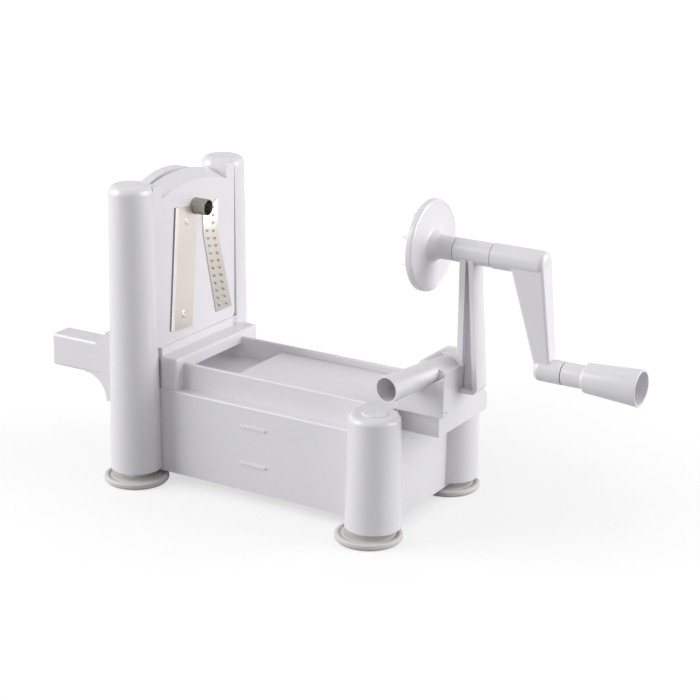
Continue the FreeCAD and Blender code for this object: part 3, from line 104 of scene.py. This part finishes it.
class Graph:
    def __init__(self, name, constants):
        self.material = bpy.data.materials.new(name)
        self.material.use_nodes = True
        self.tree = self.material.node_tree
        self.shader = self.tree.nodes["Principled BSDF"]
        for key, value in constants.items():
            self.shader.inputs[key].default_value = value
        self.place = self.node("TexCoord", {}, output="Object")

    def feed(self, socket, value):
        if isinstance(value, Term):
            self.tree.links.new(value.socket, socket)
        else:
            socket.default_value = value

    def node(self, kind, inputs, output=0, **options):
        made = self.tree.nodes.new("ShaderNode" + kind)
        for key, value in options.items():
            setattr(made, key, value)
        for key, value in inputs.items():
            self.feed(made.inputs[key], value)
        return Term(self, made.outputs[output])

    def calculate(self, operation, *values):
        return self.node("Math", dict(enumerate(values)), operation=operation)

    def noise(self, scale, detail=3.0, stretch=(1, 1, 1), turn=(0, 0, 0)):
        place = self.node("Mapping", {"Vector": self.place, "Scale": stretch, "Rotation": turn})
        return self.node("TexNoise", {"Vector": place, "Scale": scale, "Detail": detail})

    def mix(self, factor, low, high):
        return self.node("Mix", {0: factor, 6: low, 7: high}, output=2, data_type="RGBA")

    def bump(self, height, strength, distance):
        normal = self.node("Bump", {"Height": height, "Strength": strength, "Distance": distance})
        self.feed(self.shader.inputs["Normal"], normal)

    def use(self, key, value):
        self.feed(self.shader.inputs[key], value)


plasticLook = {
    "light": (0.800, 0.785, 0.815, 1), "dark": (0.765, 0.750, 0.785, 1), "speckAndBottomTone": (0.70, 0.69, 0.71, 1),
    "ior": 1.49, "glow": 0.06, "glowReach": (0.004, 0.004, 0.004), "coatGloss": 0.18,
    "cloudScale": 9, "flowScale": 26, "flowStretch": (1, 1, 0.15), "grainScale": 1500,
    "speckScale": 420, "speckLimit": 0.745, "speckShare": 0.25,
    "cloudShare": 0.65, "toneStart": 0.3, "toneGain": 1.6,
    "gloss": 0.24, "uneven": 0.10, "grainGloss": 0.05, "coat": 0.35, "coatUneven": 0.25,
    "cloudHeight": 1.2, "flowHeight": 0.3, "grainHeight": 0.05, "bump": 0.35, "depth": 0.00012,
}


def plastic(name, cfg):
    g = Graph(name, {
        "IOR": cfg["ior"], "Subsurface Weight": cfg["glow"], "Subsurface Radius": cfg["glowReach"],
        "Coat Roughness": cfg["coatGloss"],
    })
    cloud = g.noise(cfg["cloudScale"], 4)
    flow = g.noise(cfg["flowScale"], 3, cfg["flowStretch"])
    grain = g.noise(cfg["grainScale"], 2)
    specks = g.noise(cfg["speckScale"], 1).math("GREATER_THAN", cfg["speckLimit"])
    shade = cloud * cfg["cloudShare"] + flow * (1 - cfg["cloudShare"])
    base = g.mix((shade - cfg["toneStart"]) * cfg["toneGain"], cfg["dark"], cfg["light"])
    g.use("Base Color", g.mix(specks * cfg["speckShare"], base, cfg["speckAndBottomTone"]))
    g.use("Roughness", cfg["gloss"] + flow * cfg["uneven"] + grain * cfg["grainGloss"])
    g.use("Coat Weight", cfg["coat"] + cloud * cfg["coatUneven"])
    height = cloud * cfg["cloudHeight"] + flow * cfg["flowHeight"] + grain * cfg["grainHeight"]
    g.bump(height, cfg["bump"], cfg["depth"])
    return g.material


steelLook = {
    "light": (0.80, 0.755, 0.70, 1), "dark": (0.62, 0.575, 0.53, 1), "brushing": 0.3,
    "streakScale": 130, "streakShare": 0.7, "smearScale": 34,
    "scratchScale": 75, "scratchLimit": 0.70, "scratchTurn": (0.5, 0.1, 0), "scratchStretch": (1, 0.6, 2.4),
    "gloss": 0.27, "streaks": 0.14, "smears": 0.10, "scratches": 0.08,
    "scratchHeight": 0.4, "bump": 0.25, "depth": 0.00004,
}


def brushedSteel(name, cfg, stretch):
    g = Graph(name, {"Metallic": 1.0, "Anisotropic": cfg["brushing"]})
    streaks = g.noise(cfg["streakScale"], 5, stretch)
    smear = g.noise(cfg["smearScale"], 4)
    across = tuple(a * b for a, b in zip(stretch, cfg["scratchStretch"]))
    marks = g.noise(cfg["scratchScale"], 2, across, cfg["scratchTurn"])
    scratches = marks.math("GREATER_THAN", cfg["scratchLimit"])
    shade = streaks * cfg["streakShare"] + smear * (1 - cfg["streakShare"])
    g.use("Base Color", g.mix(shade, cfg["dark"], cfg["light"]))
    gloss = cfg["gloss"] + streaks * cfg["streaks"] + smear * cfg["smears"] + scratches * cfg["scratches"]
    g.use("Roughness", gloss)
    g.bump(streaks + scratches * cfg["scratchHeight"], cfg["bump"], cfg["depth"])
    return g.material


rubberLook = {
    # the third colour is the dimmer tone that the feet take on towards the bottom
    "light": (0.700, 0.680, 0.655, 1), "dark": (0.640, 0.620, 0.600, 1), "speckAndBottomTone": (0.55, 0.53, 0.50, 1),
    "ior": 1.45, "glow": 0.2, "glowReach": (0.006, 0.0055, 0.005), "cloudScale": 40, "grainScale": 900,
    # the first two values set how far up from the floor, and how strongly, the feet grow darker towards the
    # bottom
    "darkeningHeight": 0.004, "darkeningShare": 0.5, "gloss": 0.38, "uneven": 0.16, "grainGloss": 0.08,
    "grainHeight": 0.5, "bump": 0.3, "depth": 0.00008,
}


def softRubber(name, cfg):
    g = Graph(name, {
        "IOR": cfg["ior"], "Subsurface Weight": cfg["glow"], "Subsurface Radius": cfg["glowReach"],
    })
    cloud = g.noise(cfg["cloudScale"], 4)
    grain = g.noise(cfg["grainScale"], 3)
    height = g.node("SeparateXYZ", {"Vector": g.place}, output="Z")
    # darker towards the bottom: within a few millimetres of the floor the colour leans to the dimmer tone
    bottomDarkening = (1 - height / cfg["darkeningHeight"]).math("MAXIMUM", 0.0) * cloud
    base = g.mix(cloud, cfg["dark"], cfg["light"])
    g.use("Base Color", g.mix(bottomDarkening * cfg["darkeningShare"], base, cfg["speckAndBottomTone"]))
    g.use("Roughness", cfg["gloss"] + cloud * cfg["uneven"] + grain * cfg["grainGloss"])
    g.bump(grain * cfg["grainHeight"] + cloud, cfg["bump"], cfg["depth"])
    return g.material


white = plastic("white_plastic", plasticLook)
plugWhite = plastic("plug_plastic", {**plasticLook, "light": (0.79, 0.78, 0.80, 1), "gloss": 0.33})
bladeSteel = brushedSteel("blade_steel", steelLook, (6, 14, 0.5))
tubeLook = {**steelLook, "light": (0.54, 0.52, 0.48, 1), "dark": (0.20, 0.19, 0.17, 1), "gloss": 0.18}
tubeSteel = brushedSteel("tube_steel", tubeLook, (1, 14, 14))
hardwareLook = {**steelLook, "light": (0.70, 0.70, 0.70, 1), "dark": (0.52, 0.52, 0.53, 1), "gloss": 0.28}
hardware = brushedSteel("hardware_steel", hardwareLook, (3, 3, 3))
rubber = softRubber("foot_rubber", rubberLook)
print("materials done")


def rounded(corners, steps=6):
    # corners are (radius, along, rounding); the outline is closed and each rounding becomes an arc
    points = []
    count = len(corners)
    for index, (r, t, rounding) in enumerate(corners):
        here = Vector((r, t))
        before = Vector(corners[index - 1][:2]) - here
        after = Vector(corners[(index + 1) % count][:2]) - here
        if not rounding or before.length < tiny or after.length < tiny:
            points.append((r, t))
            continue
        before.normalize()
        after.normalize()
        half = acos(max(-1.0, min(1.0, before.dot(after)))) / 2
        middle = here + (before + after).normalized() * (rounding / sin(half))
        start = here + before * (rounding / tan(half)) - middle
        turn = start.angle_signed(here + after * (rounding / tan(half)) - middle)
        for step in range(steps + 1):
            spoke = start.copy()
            spoke.rotate(Matrix.Rotation(-turn * step / steps, 2))
            points.append(tuple(middle + spoke))
    return points


def at(point):
    # lengths are in millimetres from the middle of the columns; the frame starts under the middle of the slicer
    return (Vector(point) - Vector((columnsToMiddle, 0, 0))) * mm


axisTurns = {
    "x": Matrix(((0, 0, 1), (0, 1, 0), (-1, 0, 0))), "-x": Matrix(((0, 0, -1), (0, 1, 0), (1, 0, 0))),
    "z": Matrix.Identity(3),
}


def turnedMesh(mesh, outline, origin, axis="z", segments=96):
    # sweeps a closed outline of (radius, along) about an axis; points on the axis are shared
    turn = axisTurns[axis]
    rings = []
    for r, t in outline:
        if r < tiny:
            rings.append([mesh.verts.new(at(Vector(origin) + turn @ Vector((0, 0, t))))])
            continue
        rings.append([
            mesh.verts.new(at(Vector(origin) + turn @ Vector((r * cos(a), r * sin(a), t))))
            for a in (2 * pi * k / segments for k in range(segments))
        ])
    for low, high in zip(rings, rings[1:] + rings[:1]):
        if len(low) == 1 and len(high) == 1:
            continue
        for k in range(segments):
            n = (k + 1) % segments
            loop = [low[k % len(low)], low[n % len(low)], high[n % len(high)], high[k % len(high)]]
            mesh.faces.new([v for i, v in enumerate(loop) if v not in loop[:i]])


def addPiece(name, mesh, material, sharp=sharpAngle):
    bmesh.ops.remove_doubles(mesh, verts=mesh.verts, dist=weldReach)
    bmesh.ops.recalc_face_normals(mesh, faces=mesh.faces)
    data = bpy.data.meshes.new(name)
    mesh.to_mesh(data)
    mesh.free()
    data.shade_smooth()
    data.set_sharp_from_angle(angle=radians(sharp))
    data.materials.append(material)
    made = bpy.data.objects.new(name, data)
    bpy.context.scene.collection.objects.link(made)
    return made


def stand(made, body, replaced):
    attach(made, body)
    for node in replaced:
        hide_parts(node)


def cutBy(made, tool):
    modifier = made.modifiers.new("cut", "BOOLEAN")
    modifier.operation, modifier.object, modifier.solver = "DIFFERENCE", tool, "EXACT"
    modifier.use_self = True
    data = bpy.data.meshes.new_from_object(made.evaluated_get(bpy.context.evaluated_depsgraph_get()))
    made.modifiers.clear()
    old, made.data = made.data, data
    bpy.data.meshes.remove(old)
    bpy.data.objects.remove(tool)
    data.shade_smooth()
    data.set_sharp_from_angle(angle=radians(sharpAngle))


# Suction feet: a cup with a raised lip, a ring groove, a low crown, a neck and a stem.
footShape = {
    "spots": {
        "front_blade": (-100.6, -56.5), "rear_blade": (-100.6, 56.5),
        "front_crank": (97.3, -56.5), "rear_crank": (97.3, 56.5),
    },
    "outline": (
        (0, 2.6, 0), (18.5, 2.6, 3), (21.1, 0, 0.5), (22.3, 0, 0.5), (23.7, 1.6, 1.2), (23.7, 4.2, 1.2),
        (22.2, 5.0, 0.6), (20.6, 5.0, 0.5), (19.9, 4.1, 0.5), (18.9, 4.1, 0.4), (17.9, 4.8, 0.4),
        (9.0, 5.0, 1.5), (9.0, 10.5, 0), (5.0, 10.5, 0), (5.0, 14.5, 0), (7.0, 14.5, 0.4),
        (6.6, 17.5, 1.0), (0, 17.5, 0),
    ),
}
for spot, (x, y) in footShape["spots"].items():
    cup = bmesh.new()
    turnedMesh(cup, rounded(footShape["outline"]), (x, y, 0), "z", 128)
    stand(addPiece("suction_foot_" + spot, cup, rubber), "base", ["foot_" + spot])
print("feet done")

# Cap plugs in the short columns, with a fine chamfer and a dimple of the gate.
plugShape = {
    "spots": {"front_crank": (100.6, -56.5), "rear_crank": (100.6, 56.5)}, "top": 91.6,
    "outline": (
        (0, -5.0, 0), (7.4, -5.0, 0.5), (7.4, 0, 0), (8.7, 0, 0), (8.7, 1.0, 0.55), (1.3, 1.0, 0.2),
        (1.1, 0.75, 0.1), (0, 0.75, 0),
    ),
}
for spot, (x, y) in plugShape["spots"].items():
    cap = bmesh.new()
    turnedMesh(cap, rounded(plugShape["outline"]), (x, y, plugShape["top"]), "z", 96)
    stand(addPiece("cap_plug_" + spot, cap, plugWhite), "base", ["column_plug_" + spot])
print("plugs done")

# Each cartridge is described standing: across, up, and out of its face; a place carries it to its spot.
cartridges = {
    "": {
        "body": "cartridge", "axis": "x", "comb": True, "turn": Matrix.Identity(3),
        "place": lambda a, u, o: Vector((-86.0 + o, a, 101.0 + u)),
    },
    "spare_one_": {
        "body": "spare_one", "axis": "z", "comb": True, "turn": Matrix(((0, 1, 0), (0, 0, 1), (1, 0, 0))),
        "place": lambda a, u, o: Vector((-4.6 + a, -44.1 + u, 26.0 + o)),
    },
    "spare_two_": {
        "body": "spare_two", "axis": "z", "comb": False,
        "place": lambda a, u, o: Vector((-4.6 + a, -44.1 + u, 54.0 + o)),
    },
}
rivetShape = {
    "centre": (-14.5, 52.8), "tilt": 4.9, "reach": 34.25,
    "outline": (
        (0, -2.0, 0), (1.6, -2.0, 0), (1.6, 1.6, 0), (2.9, 1.6, 0), (2.9, 1.78, 0.1), (2.2, 2.06, 0.3),
        (1.0, 2.1, 0.3), (0.8, 1.95, 0.1), (0, 1.95, 0),
    ),
}
corerShape = {
    "up": 96.0,
    "outline": (
        (5.3, -3.5, 0), (6.0, -3.5, 0), (6.0, 10.9, 0), (5.62, 12.0, 0.12), (5.48, 12.0, 0.1), (5.3, 11.5, 0),
    ),
}
tilt = radians(rivetShape["tilt"])
for prefix, cartridge in cartridges.items():
    body, axis, place = cartridge["body"], cartridge["axis"], cartridge["place"]
    rivets = bmesh.new()
    for side in (-1, 1):
        across = rivetShape["centre"][0] + side * rivetShape["reach"] * sin(tilt)
        up = rivetShape["centre"][1] + side * rivetShape["reach"] * cos(tilt)
        turnedMesh(rivets, rounded(rivetShape["outline"], 3), place(across, up, 0), axis, 40)
    stand(addPiece(prefix + "rivets", rivets, bladeSteel), body, [prefix + "blade_rivets"])
    tube = bmesh.new()
    turnedMesh(tube, rounded(corerShape["outline"], 3), place(0, corerShape["up"], 0), axis, 72)
    stand(addPiece(prefix + "corer", tube, tubeSteel), body, [prefix + "corer_tube"])
print("rivets and corer tubes done")

# Comb blade: a bent strip with three rows of pressed-up teeth.
combShape = {
    "thickness": 0.8, "eased": 0.12, "sunk": 0.05, "strip": (
        (24.6, 9.0), (45.0, 9.0), (27.4, 71.6), (27.8, 96.5), (8.6, 87.0), (9.6, 71.6),
    ),
    "rows": (
        {"across": 29.3, "up": 14.0, "lean": 13.8, "length": 62.5, "count": 11},
        {"across": 38.4, "up": 13.2, "lean": 14.8, "length": 61.7, "count": 11},
        {"across": 22.3, "up": 78.8, "lean": 3.0, "length": 11.8, "count": 3},
    ),
    "toothReach": 1.6, "toothHalf": 1.35, "toothHeight": 1.9, "cheek": 0.55, "smallest": 0.94, "seed": 7,
}


def toothMesh(cfg, material):
    # a lance: flat lip to the left, open and steep; falls away to the right
    tooth = bmesh.new()
    reach, half, top = cfg["toothReach"], cfg["toothHalf"], cfg["toothHeight"]
    cheekTop, cheekHalf = cfg["cheek"] * top, cfg["cheek"] * half
    points = (
        (0, -reach, -half), (0, -reach, half), (0, reach, 0), (top, -reach, 0),
        (cheekTop, -reach, -cheekHalf), (cheekTop, -reach, cheekHalf),
    )
    v = [tooth.verts.new(Vector(p) * mm) for p in points]
    for loop in ((0, 2, 4), (4, 2, 3), (3, 2, 5), (5, 2, 1), (0, 4, 3, 5, 1), (0, 1, 2)):
        tooth.faces.new([v[i] for i in loop])
    return addPiece("tooth_pattern", tooth, material, 20)


def rowTree(name, pattern, material):
    tree = bpy.data.node_groups.new(name, "GeometryNodeTree")
    face = tree.interface
    face.new_socket("Geometry", in_out="OUTPUT", socket_type="NodeSocketGeometry")
    sockets = {
        "Count": "Int", "Start": "Vector", "Step": "Vector", "Turn": "Vector",
        "Smallest": "Float", "Seed": "Int",
    }
    for key, kind in sockets.items():
        face.new_socket(key, in_out="INPUT", socket_type="NodeSocket" + kind)

    def add(kind, inputs, **options):
        made = tree.nodes.new(kind)
        for key, value in options.items():
            setattr(made, key, value)
        for key, value in inputs.items():
            if hasattr(value, "is_output"):
                tree.links.new(value, made.inputs[key])
            else:
                made.inputs[key].default_value = value
        return made

    given = tree.nodes.new("NodeGroupInput").outputs
    line = add("GeometryNodeMeshLine", {
        "Count": given["Count"], "Start Location": given["Start"], "Offset": given["Step"],
    }).outputs[0]
    # sockets 2 and 3 are the smallest and the largest size of a tooth
    scale = add("FunctionNodeRandomValue", {
        2: given["Smallest"], 3: 1.0, "Seed": given["Seed"],
    }, data_type="FLOAT").outputs[1]
    source = add("GeometryNodeObjectInfo", {"Object": pattern}).outputs["Geometry"]
    copies = add("GeometryNodeInstanceOnPoints", {
        "Points": line, "Instance": source, "Rotation": given["Turn"], "Scale": scale,
    }).outputs[0]
    real = add("GeometryNodeRealizeInstances", {"Geometry": copies}).outputs[0]
    dressed = add("GeometryNodeSetMaterial", {"Geometry": real, "Material": material}).outputs[0]
    tree.links.new(dressed, tree.nodes.new("NodeGroupOutput").inputs[0])
    return tree


def rowOfTeeth(tree, values):
    carrier = bpy.data.objects.new("row", bpy.data.meshes.new("row"))
    bpy.context.scene.collection.objects.link(carrier)
    modifier = carrier.modifiers.new("row", "NODES")
    modifier.node_group = tree
    for item in tree.interface.items_tree:
        if item.in_out == "INPUT":
            modifier[item.identifier] = values[item.name]
    data = bpy.data.meshes.new_from_object(carrier.evaluated_get(bpy.context.evaluated_depsgraph_get()))
    carrier.modifiers.clear()
    bpy.data.objects.remove(carrier)
    return data


def combStrip(cfg, place):
    comb = bmesh.new()
    top = [comb.verts.new(at(place(a, u, cfg["thickness"]))) for a, u in cfg["strip"]]
    bottom = [comb.verts.new(at(place(a, u, 0))) for a, u in cfg["strip"]]
    comb.faces.new(top)
    comb.faces.new(bottom[::-1])
    for k in range(len(top)):
        n = (k + 1) % len(top)
        comb.faces.new((bottom[k], bottom[n], top[n], top[k]))
    bmesh.ops.bevel(
        comb, geom=comb.edges[:], offset=cfg["eased"] * mm, segments=2, affect="EDGES", profile=0.5,
    )
    return comb


pattern = toothMesh(combShape, bladeSteel)
teeth = rowTree("tooth_rows", pattern, bladeSteel)
for prefix, cartridge in cartridges.items():
    if not cartridge["comb"]:
        continue
    turn, place = cartridge["turn"], cartridge["place"]
    comb = combStrip(combShape, place)
    for cfg in combShape["rows"]:
        lean = radians(cfg["lean"])
        start = at(place(cfg["across"], cfg["up"], combShape["thickness"] - combShape["sunk"]))
        step = turn @ Vector((0, -sin(lean), cos(lean))) * (cfg["length"] / (cfg["count"] - 1) * mm)
        rotation = (turn @ Matrix.Rotation(lean, 3, "X")).to_euler()
        row = rowOfTeeth(teeth, {
            "Count": cfg["count"], "Start": tuple(start), "Step": tuple(step), "Turn": tuple(rotation),
            "Smallest": combShape["smallest"], "Seed": combShape["seed"],
        })
        comb.from_mesh(row)
        bpy.data.meshes.remove(row)
    strip = addPiece(prefix + "comb", comb, bladeSteel, 25)
    stand(strip, cartridge["body"], [prefix + "comb_blade"])
bpy.data.objects.remove(pattern)
print("comb blades done")

# Spiked disc: the plate with its flared hub, and the rings of curved prongs.
discShape = {
    "left": 106.5,
    "outline": (
        (1.8, 3.2, 0), (5.6, 3.2, 0.2), (5.6, 0, 0.3), (30.0, 0, 0), (31.6, 0.35, 0.5), (31.6, 4.6, 0.9),
        (29.8, 5.2, 0.4), (29.2, 4.95, 0.2), (11.6, 5.2, 2.6), (8.2, 10.4, 3.0), (8.0, 22.4, 0.4),
        (4.5, 22.4, 0), (4.5, 6.2, 0), (1.8, 6.2, 0),
    ),
    "rings": (
        {"count": 8, "circle": 24.3, "phase": 22.5},
        {"count": 4, "circle": 13.0, "phase": 45.0},
    ),
    "prong": (
        (0, 1.2, 0), (2.3, 0.2, 0), (1.55, -1.6, 2.0), (0.95, -4.4, 3.0), (0.32, -7.3, 0.2), (0, -7.5, 0),
    ),
}
disc = bmesh.new()
turnedMesh(disc, rounded(discShape["outline"]), (discShape["left"], 0, shaftHeight), "x", 160)
for ring in discShape["rings"]:
    for k in range(ring["count"]):
        angle = radians(ring["phase"] + k * 360 / ring["count"])
        across, up = ring["circle"] * cos(angle), ring["circle"] * sin(angle)
        root = (discShape["left"], across, shaftHeight + up)
        turnedMesh(disc, rounded(discShape["prong"], 5), root, "x", 28)
stand(addPiece("pronged_disc", disc, white), "crank", ["spiked_disc"])
print("disc done")

# Pan-head screws with a cross recess and a cut thread.
screws = {
    "disc_screw": {
        "start": (108.9, 0, shaftHeight), "axis": "x",
        "headRadius": 3.8, "head": 2.2, "radius": 1.8, "length": 12.0,
    },
    "grip_screw": {
        "start": (230.2, 0, gripHeight), "axis": "-x",
        "headRadius": 3.8, "head": 2.4, "radius": 2.0, "length": 12.0,
    },
}
threadShape = {"pitch": 1.3, "depth": 0.28, "start": 1.2, "crest": 0.05}
recessShape = {"long": 0.62, "short": 0.17, "narrowing": 0.45, "above": 1.2, "floor": 0.3}


def screwOutline(cfg, thread):
    radius, length, head, headRadius = cfg["radius"], cfg["length"], cfg["head"], cfg["headRadius"]
    pitch, valley = thread["pitch"], radius - thread["depth"]
    outline = [
        (0, -head, 0), (headRadius * 0.75, -head, 0.5), (headRadius, -head * 0.45, 0.5), (headRadius, 0, 0.1),
        (radius, 0, 0), (radius, thread["start"], 0),
    ]
    t = thread["start"]
    while t < length - radius - pitch:
        outline += [
            (valley, t + pitch * 0.25, 0), (radius, t + pitch * 0.5, thread["crest"]),
            (valley, t + pitch * 0.75, 0),
        ]
        t += pitch
    return outline + [(radius * 0.9, length - radius, 0), (0.3, length, 0.1), (0, length, 0)]


def crossRecess(cfg, shape):
    cross = bmesh.new()
    turn = axisTurns[cfg["axis"]]
    for across, along in ((shape["long"], shape["short"]), (shape["short"], shape["long"])):
        for v in bmesh.ops.create_cube(cross, size=2)["verts"]:
            above = v.co.z < 0
            narrow = cfg["headRadius"] * (1 if above else shape["narrowing"])
            height = -cfg["head"] * (shape["above"] if above else shape["floor"])
            local = Vector((v.co.x * across * narrow, v.co.y * along * narrow, height))
            v.co = at(Vector(cfg["start"]) + turn @ local)
    return addPiece("cross", cross, hardware)


for name, cfg in screws.items():
    screw = bmesh.new()
    turnedMesh(screw, rounded(screwOutline(cfg, threadShape), 3), cfg["start"], cfg["axis"], 48)
    made = addPiece(name + "_piece", screw, hardware)
    cutBy(made, crossRecess(cfg, recessShape))
    stand(made, "crank", [name])
print("screws done")

# Grip: a neck and a flared sleeve with an eased mouth.
gripShape = {
    "start": (212.1, 0, gripHeight),
    "outline": (
        (4.6, 0, 0.2), (7.9, 0, 0.7), (7.9, 14.5, 0.5), (10.1, 16.5, 1.2), (12.5, 54.9, 0.7),
        (11.0, 54.9, 0.6), (8.6, 16.5, 0.8), (4.6, 16.5, 0.2),
    ),
}
grip = bmesh.new()
turnedMesh(grip, rounded(gripShape["outline"]), gripShape["start"], "x", 128)
stand(addPiece("turning_grip", grip, white), "grip", ["crank_grip"])
print("grip done")

keptNodes = (
    (white, ("base_frame", "cartridge_frame", "spare_one_cartridge_frame", "spare_two_cartridge_frame",
             "carriage", "post", "crank_arm")),
    (bladeSteel, ("straight_blade", "spare_one_straight_blade", "spare_two_straight_blade")),
    (hardware, ("post_screw", "disc_washer", "crank_shaft", "grip_washer")),
)
for material, names in keptNodes:
    for name in names:
        data = nodes[name].data
        data.materials.clear()
        data.materials.append(material)
        for face in data.polygons:
            face.material_index = 0
print("kept nodes dressed")

lights = {
    "left": {"place": (-1.65, -1.15, 0.95), "size": (1.6, 1.8), "power": 40.0},
    "right": {"place": (1.75, 0.85, 0.70), "size": (1.6, 1.8), "power": 39.5},
    "top": {"place": (0.05, 0.1, 2.2), "size": (2.0, 2.0), "power": 3.0},
    "front": {"place": (0.5, -2.2, 0.8), "size": (1.6, 1.2), "power": 3.0},
}
lightsAim = (0, 0, 0.1)
surroundings = {"fill": 0.38, "mirrored": 0.3}
floorLook = {
    "half": 6, "gloss": 0.9, "color": (0.35, 0.35, 0.35, 1), "lift": 0.62, "mirrored": 0.55, "far": 0.45,
    "reach": 2.5,
}


def makeLights(cfgs, aim):
    for name, cfg in cfgs.items():
        data = bpy.data.lights.new(name, "AREA")
        data.shape = "RECTANGLE"
        data.size, data.size_y = cfg["size"]
        data.energy = cfg["power"]
        lamp = bpy.data.objects.new(name, data)
        bpy.context.scene.collection.objects.link(lamp)
        toward = (Vector(aim) - Vector(cfg["place"])).to_track_quat("-Z", "Y").to_matrix().to_4x4()
        lamp.matrix_world = Matrix.Translation(cfg["place"]) @ toward


def makeWorld(cfg):
    # white to the camera, dimmer in reflections, and a weak fill for the rest
    world = bpy.data.worlds.new("world")
    bpy.context.scene.world = world
    world.use_nodes = True
    tree = world.node_tree
    ray = tree.nodes.new("ShaderNodeLightPath")
    seen = tree.nodes.new("ShaderNodeMath")
    seen.operation = "MULTIPLY_ADD"
    tree.links.new(ray.outputs["Is Glossy Ray"], seen.inputs[0])
    seen.inputs[1].default_value, seen.inputs[2].default_value = cfg["mirrored"], cfg["fill"]
    brightest = tree.nodes.new("ShaderNodeMath")
    brightest.operation = "MAXIMUM"
    tree.links.new(ray.outputs["Is Camera Ray"], brightest.inputs[0])
    tree.links.new(seen.outputs[0], brightest.inputs[1])
    tree.nodes["Background"].inputs["Color"].default_value = (1, 1, 1, 1)
    tree.links.new(brightest.outputs[0], tree.nodes["Background"].inputs["Strength"])


def makeFloor(cfg):
    # the floor gives off a little white of its own, more with distance, so that only the shadow stays grey
    half = cfg["half"]
    data = bpy.data.meshes.new("floor")
    corners = [(-half, -half, 0), (half, -half, 0), (half, half, 0), (-half, half, 0)]
    data.from_pydata(corners, [], [(0, 1, 2, 3)])
    floor = bpy.data.objects.new("floor", data)
    bpy.context.scene.collection.objects.link(floor)
    g = Graph("floor", {
        "Roughness": cfg["gloss"], "Base Color": cfg["color"], "Emission Strength": 1.0,
        "Specular IOR Level": 0.0,
    })
    away = g.node("VectorMath", {0: g.place}, output="Value", operation="LENGTH")
    far = (away / cfg["reach"]).math("MINIMUM", 1.0) * cfg["far"]
    camera = g.node("LightPath", {}, output="Is Camera Ray")
    mirrored = g.node("LightPath", {}, output="Is Glossy Ray")
    seen = camera * (cfg["lift"] + far) + mirrored * cfg["mirrored"]
    g.use("Emission Color", g.node("CombineXYZ", {0: seen, 1: seen, 2: seen}))
    data.materials.append(g.material)


makeCamera(cameraPlace)
makeLights(lights, lightsAim)
makeWorld(surroundings)
makeFloor(floorLook)
bpy.context.scene.view_settings.view_transform = "Standard"
print("stage done")
